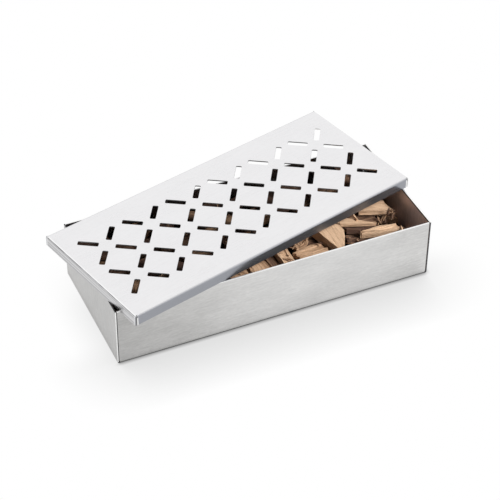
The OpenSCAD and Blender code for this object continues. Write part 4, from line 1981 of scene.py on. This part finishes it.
@dataclass
class Studio:
    """Camera, pale floor and soft light.

    Args:
        eye: Where the camera stands.
        look: Direction that it looks in.
        roll: Angle that it is rolled by.
        lens: Focal length, in millimetres.
        sensor: Width of the sensor, in millimetres.
        clip: Nearest and farthest distance that the camera shows.
        ambient: Strength of the light from all round, where 1 makes a white card look white.
        dark_side: Direction of the unlit side of the studio.
        dark_spread: Cosines of the angles from there at which it begins and is fully dark.
        dark_share: How much of the light is missing there.
        softbox_place: Middle of the softbox.
        softbox_size: Its side.
        softbox_light: Light that it casts on a level card, on the same scale.
        floor_side: Side of the floor.
        floor_drop: How far the floor lies below the object.
        floor_colour: Colour of the floor.
        shadow_lean: Direction that the floor's light mostly comes from.
        shadow_share: How dark the shadow before the object is.
        shadow_reach: How far from the object it goes.
        shadow_run: Where along Y it begins to end and has ended.
        side_share: How dark the shadow elsewhere is.
        side_reach: How far it goes.
        side_rear: Where along Y it begins to thin out and is thinnest.
        side_right: Where along X it does.
        side_least: Share that is left of it there.
        contact_share: How dark the painted contact shadow under the object's edges is.
        contact_reach: How wide it is.
        contact_left: Where along X it begins, on the left of which there is none.
        contact_front: Where along Y it ends before the object's left end.
    """

    eye: Triple = (-0.34655, -0.76566, 0.72607)
    look: Triple = (0.316843, 0.696666, -0.643636)
    roll: float = math.radians(0.5957)
    lens: float = 125.69
    sensor: float = 36.0
    clip: Span = (0.01, 50.0)
    ambient: float = 0.42
    dark_side: Triple = (-0.3, -0.66, 0.69)
    dark_spread: Span = (0.35, 0.9)
    dark_share: float = 0.75
    softbox_place: Triple = (0.58, -0.89, 0.99)
    softbox_size: float = 0.5
    softbox_light: float = 0.71
    floor_side: float = 6.0
    floor_drop: float = 0.05 * MM
    floor_colour: Colour = (0.97, 0.97, 0.97)
    shadow_lean: Triple = (0.16, 0.68, 0.72)
    shadow_share: float = 0.37
    shadow_reach: float = 45 * MM
    shadow_run: Span = (-46 * MM, -20 * MM)
    side_share: float = 0.3
    side_reach: float = 22 * MM
    side_rear: Span = (0.0, 40 * MM)
    side_right: Span = (-50 * MM, 50 * MM)
    side_least: float = 0.3
    contact_share: float = 0.8
    contact_reach: float = 3 * MM
    contact_left: Span = (-104.5 * MM, -103.5 * MM)
    contact_front: Span = (-46 * MM, -44 * MM)

    def build(self) -> None:
        """Sets up all of it, with colours shown as they are."""
        bpy.context.scene.view_settings.view_transform = "Standard"
        self.add_camera()
        self.add_softbox()
        self.light_world()
        self.lay_floor()

    @staticmethod
    def aim(thing: bpy.types.Object, place: Vector, look: Vector, roll: float = 0.0) -> None:
        """Stands a camera or a lamp somewhere.

        Args:
            thing: What is stood there.
            place: Where it stands.
            look: Direction that it looks in.
            roll: Angle that it is rolled by.
        """
        thing.location = place
        thing.rotation_mode = "QUATERNION"
        thing.rotation_quaternion = look.to_track_quat("-Z", "Y") @ Quaternion((0, 0, 1), roll)

    def add_camera(self) -> None:
        """Stands the camera at the eye and makes it the scene's own."""
        data = bpy.data.cameras.new("camera")
        data.sensor_width = self.sensor
        data.lens = self.lens
        data.clip_start, data.clip_end = self.clip
        camera = put("camera", data)
        self.aim(camera, Vector(self.eye), Vector(self.look), self.roll)
        bpy.context.scene.camera = camera

    def add_softbox(self) -> None:
        """Hangs a softbox that is aimed at the object, and that the steel doesn't mirror."""
        place = Vector(self.softbox_place)
        data = bpy.data.lights.new("softbox", "AREA")
        data.size = self.softbox_size
        data.energy = self.softbox_light * math.pi**2 * place.length**3 / place.z
        softbox = put("softbox", data)
        self.aim(softbox, place, -place)
        softbox.visible_glossy = False

    @staticmethod
    def seen_directly(graph: Graph) -> Value:
        """Tells the rays that show a surface from those that light the object.

        Args:
            graph: Graph of the surface.

        Returns:
            1 for rays from the camera, from metal and through glass, and 0 for other rays.
        """
        path = graph.add("ShaderNodeLightPath")
        rays = ("Is Camera Ray", "Is Glossy Ray", "Is Transmission Ray")
        camera, glossy, clear = (Value(graph, path.outputs[name]) for name in rays)
        return camera.most(glossy).most(clear)

    def light_world(self) -> None:
        """Lights the scene from all round, before a white backdrop."""
        world = bpy.data.worlds.new("studio")
        world.use_nodes = True
        world.cycles.sampling_method = "NONE"
        bpy.context.scene.world = world
        graph = Graph(world.node_tree)
        way = graph.add("ShaderNodeTexCoord").outputs["Generated"]
        dark_side = Vector(self.dark_side).normalized()
        toward = graph.add("ShaderNodeVectorMath", {"operation": "DOT_PRODUCT"}, {0: way, 1: dark_side})
        dark = Value(graph, toward.outputs["Value"]).ramp(*self.dark_spread) * self.dark_share
        seen = self.seen_directly(graph)
        strength = seen + (1.0 - seen) * self.ambient * (1.0 - dark)
        inputs = {"Color": (1.0, 1.0, 1.0, 1.0), "Strength": strength}
        graph.finish(graph.add("ShaderNodeBackground", None, inputs).outputs[0], "ShaderNodeOutputWorld")

    @staticmethod
    def shut_out(graph: Graph, inputs: dict[str, object]) -> Value:
        """Works out how much of the light something near the floor shuts out.

        Args:
            graph: Graph of the floor.
            inputs: How near it is, and the direction that the light mostly comes from.

        Returns:
            A share from 0 to 1.
        """
        node = graph.add("ShaderNodeAmbientOcclusion", None, inputs)
        return 1.0 - Value(graph, node.outputs["AO"])

    def lay_floor(self) -> None:
        """Lays a plain white floor that is shaded where the object shuts out the light."""
        material, graph = Graph.of_material("floor")
        lean = graph.add("ShaderNodeCombineXYZ", None, dict(enumerate(self.shadow_lean))).outputs[0]
        before = self.shut_out(graph, {"Distance": self.shadow_reach, "Normal": lean})
        beside = self.shut_out(graph, {"Distance": self.side_reach})
        under = self.shut_out(graph, {"Distance": self.contact_reach})
        along, across, _ = graph.parts(graph.add("ShaderNodeTexCoord").outputs["Object"])
        front = 1.0 - across.ramp(*self.shadow_run)
        left = (1.0 - along.ramp(*self.contact_left)) * across.ramp(*self.contact_front)
        near = (1.0 - across.ramp(*self.side_rear)) * (1.0 - along.ramp(*self.side_right))
        shade = before * front * self.shadow_share
        shade = shade + beside * (1.0 - front) * near.between(self.side_least, 1.0) * self.side_share
        shade = shade + under * (1.0 - left) * self.contact_share
        # The camera and the metal see the floor glow, less the painted shadow
        plain = graph.add("ShaderNodeEmission", None, {"Strength": (1.0 - shade).most(0.0)})
        lit = graph.add("ShaderNodeBsdfDiffuse", None, {"Color": (*self.floor_colour, 1.0)})
        sockets = {0: self.seen_directly(graph), 1: lit.outputs[0], 2: plain.outputs[0]}
        graph.finish(graph.add("ShaderNodeMixShader", None, sockets).outputs[0])
        half = self.floor_side / 2
        corners = [(x * half, y * half, -self.floor_drop) for x, y in ((-1, -1), (1, -1), (1, 1), (-1, 1))]
        mesh = bpy.data.meshes.new("floor")
        mesh.from_pydata(corners, [], [(0, 1, 2, 3)])
        mesh.materials.append(material)
        put("floor", mesh)


def main() -> None:
    """Builds the pieces round the frame, and the studio that they are shown in."""
    logging.basicConfig(level=logging.INFO, format="%(message)s")
    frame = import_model()
    Studio().build()
    Tray().build()
    Lid().build()
    wood = SplitWood().material()
    pile = ChipPile()
    chips = pile.build(frame["nodes"], wood)
    Litter().build(chips, pile.bed(chips), wood)


if __name__ == "__main__":
    main()
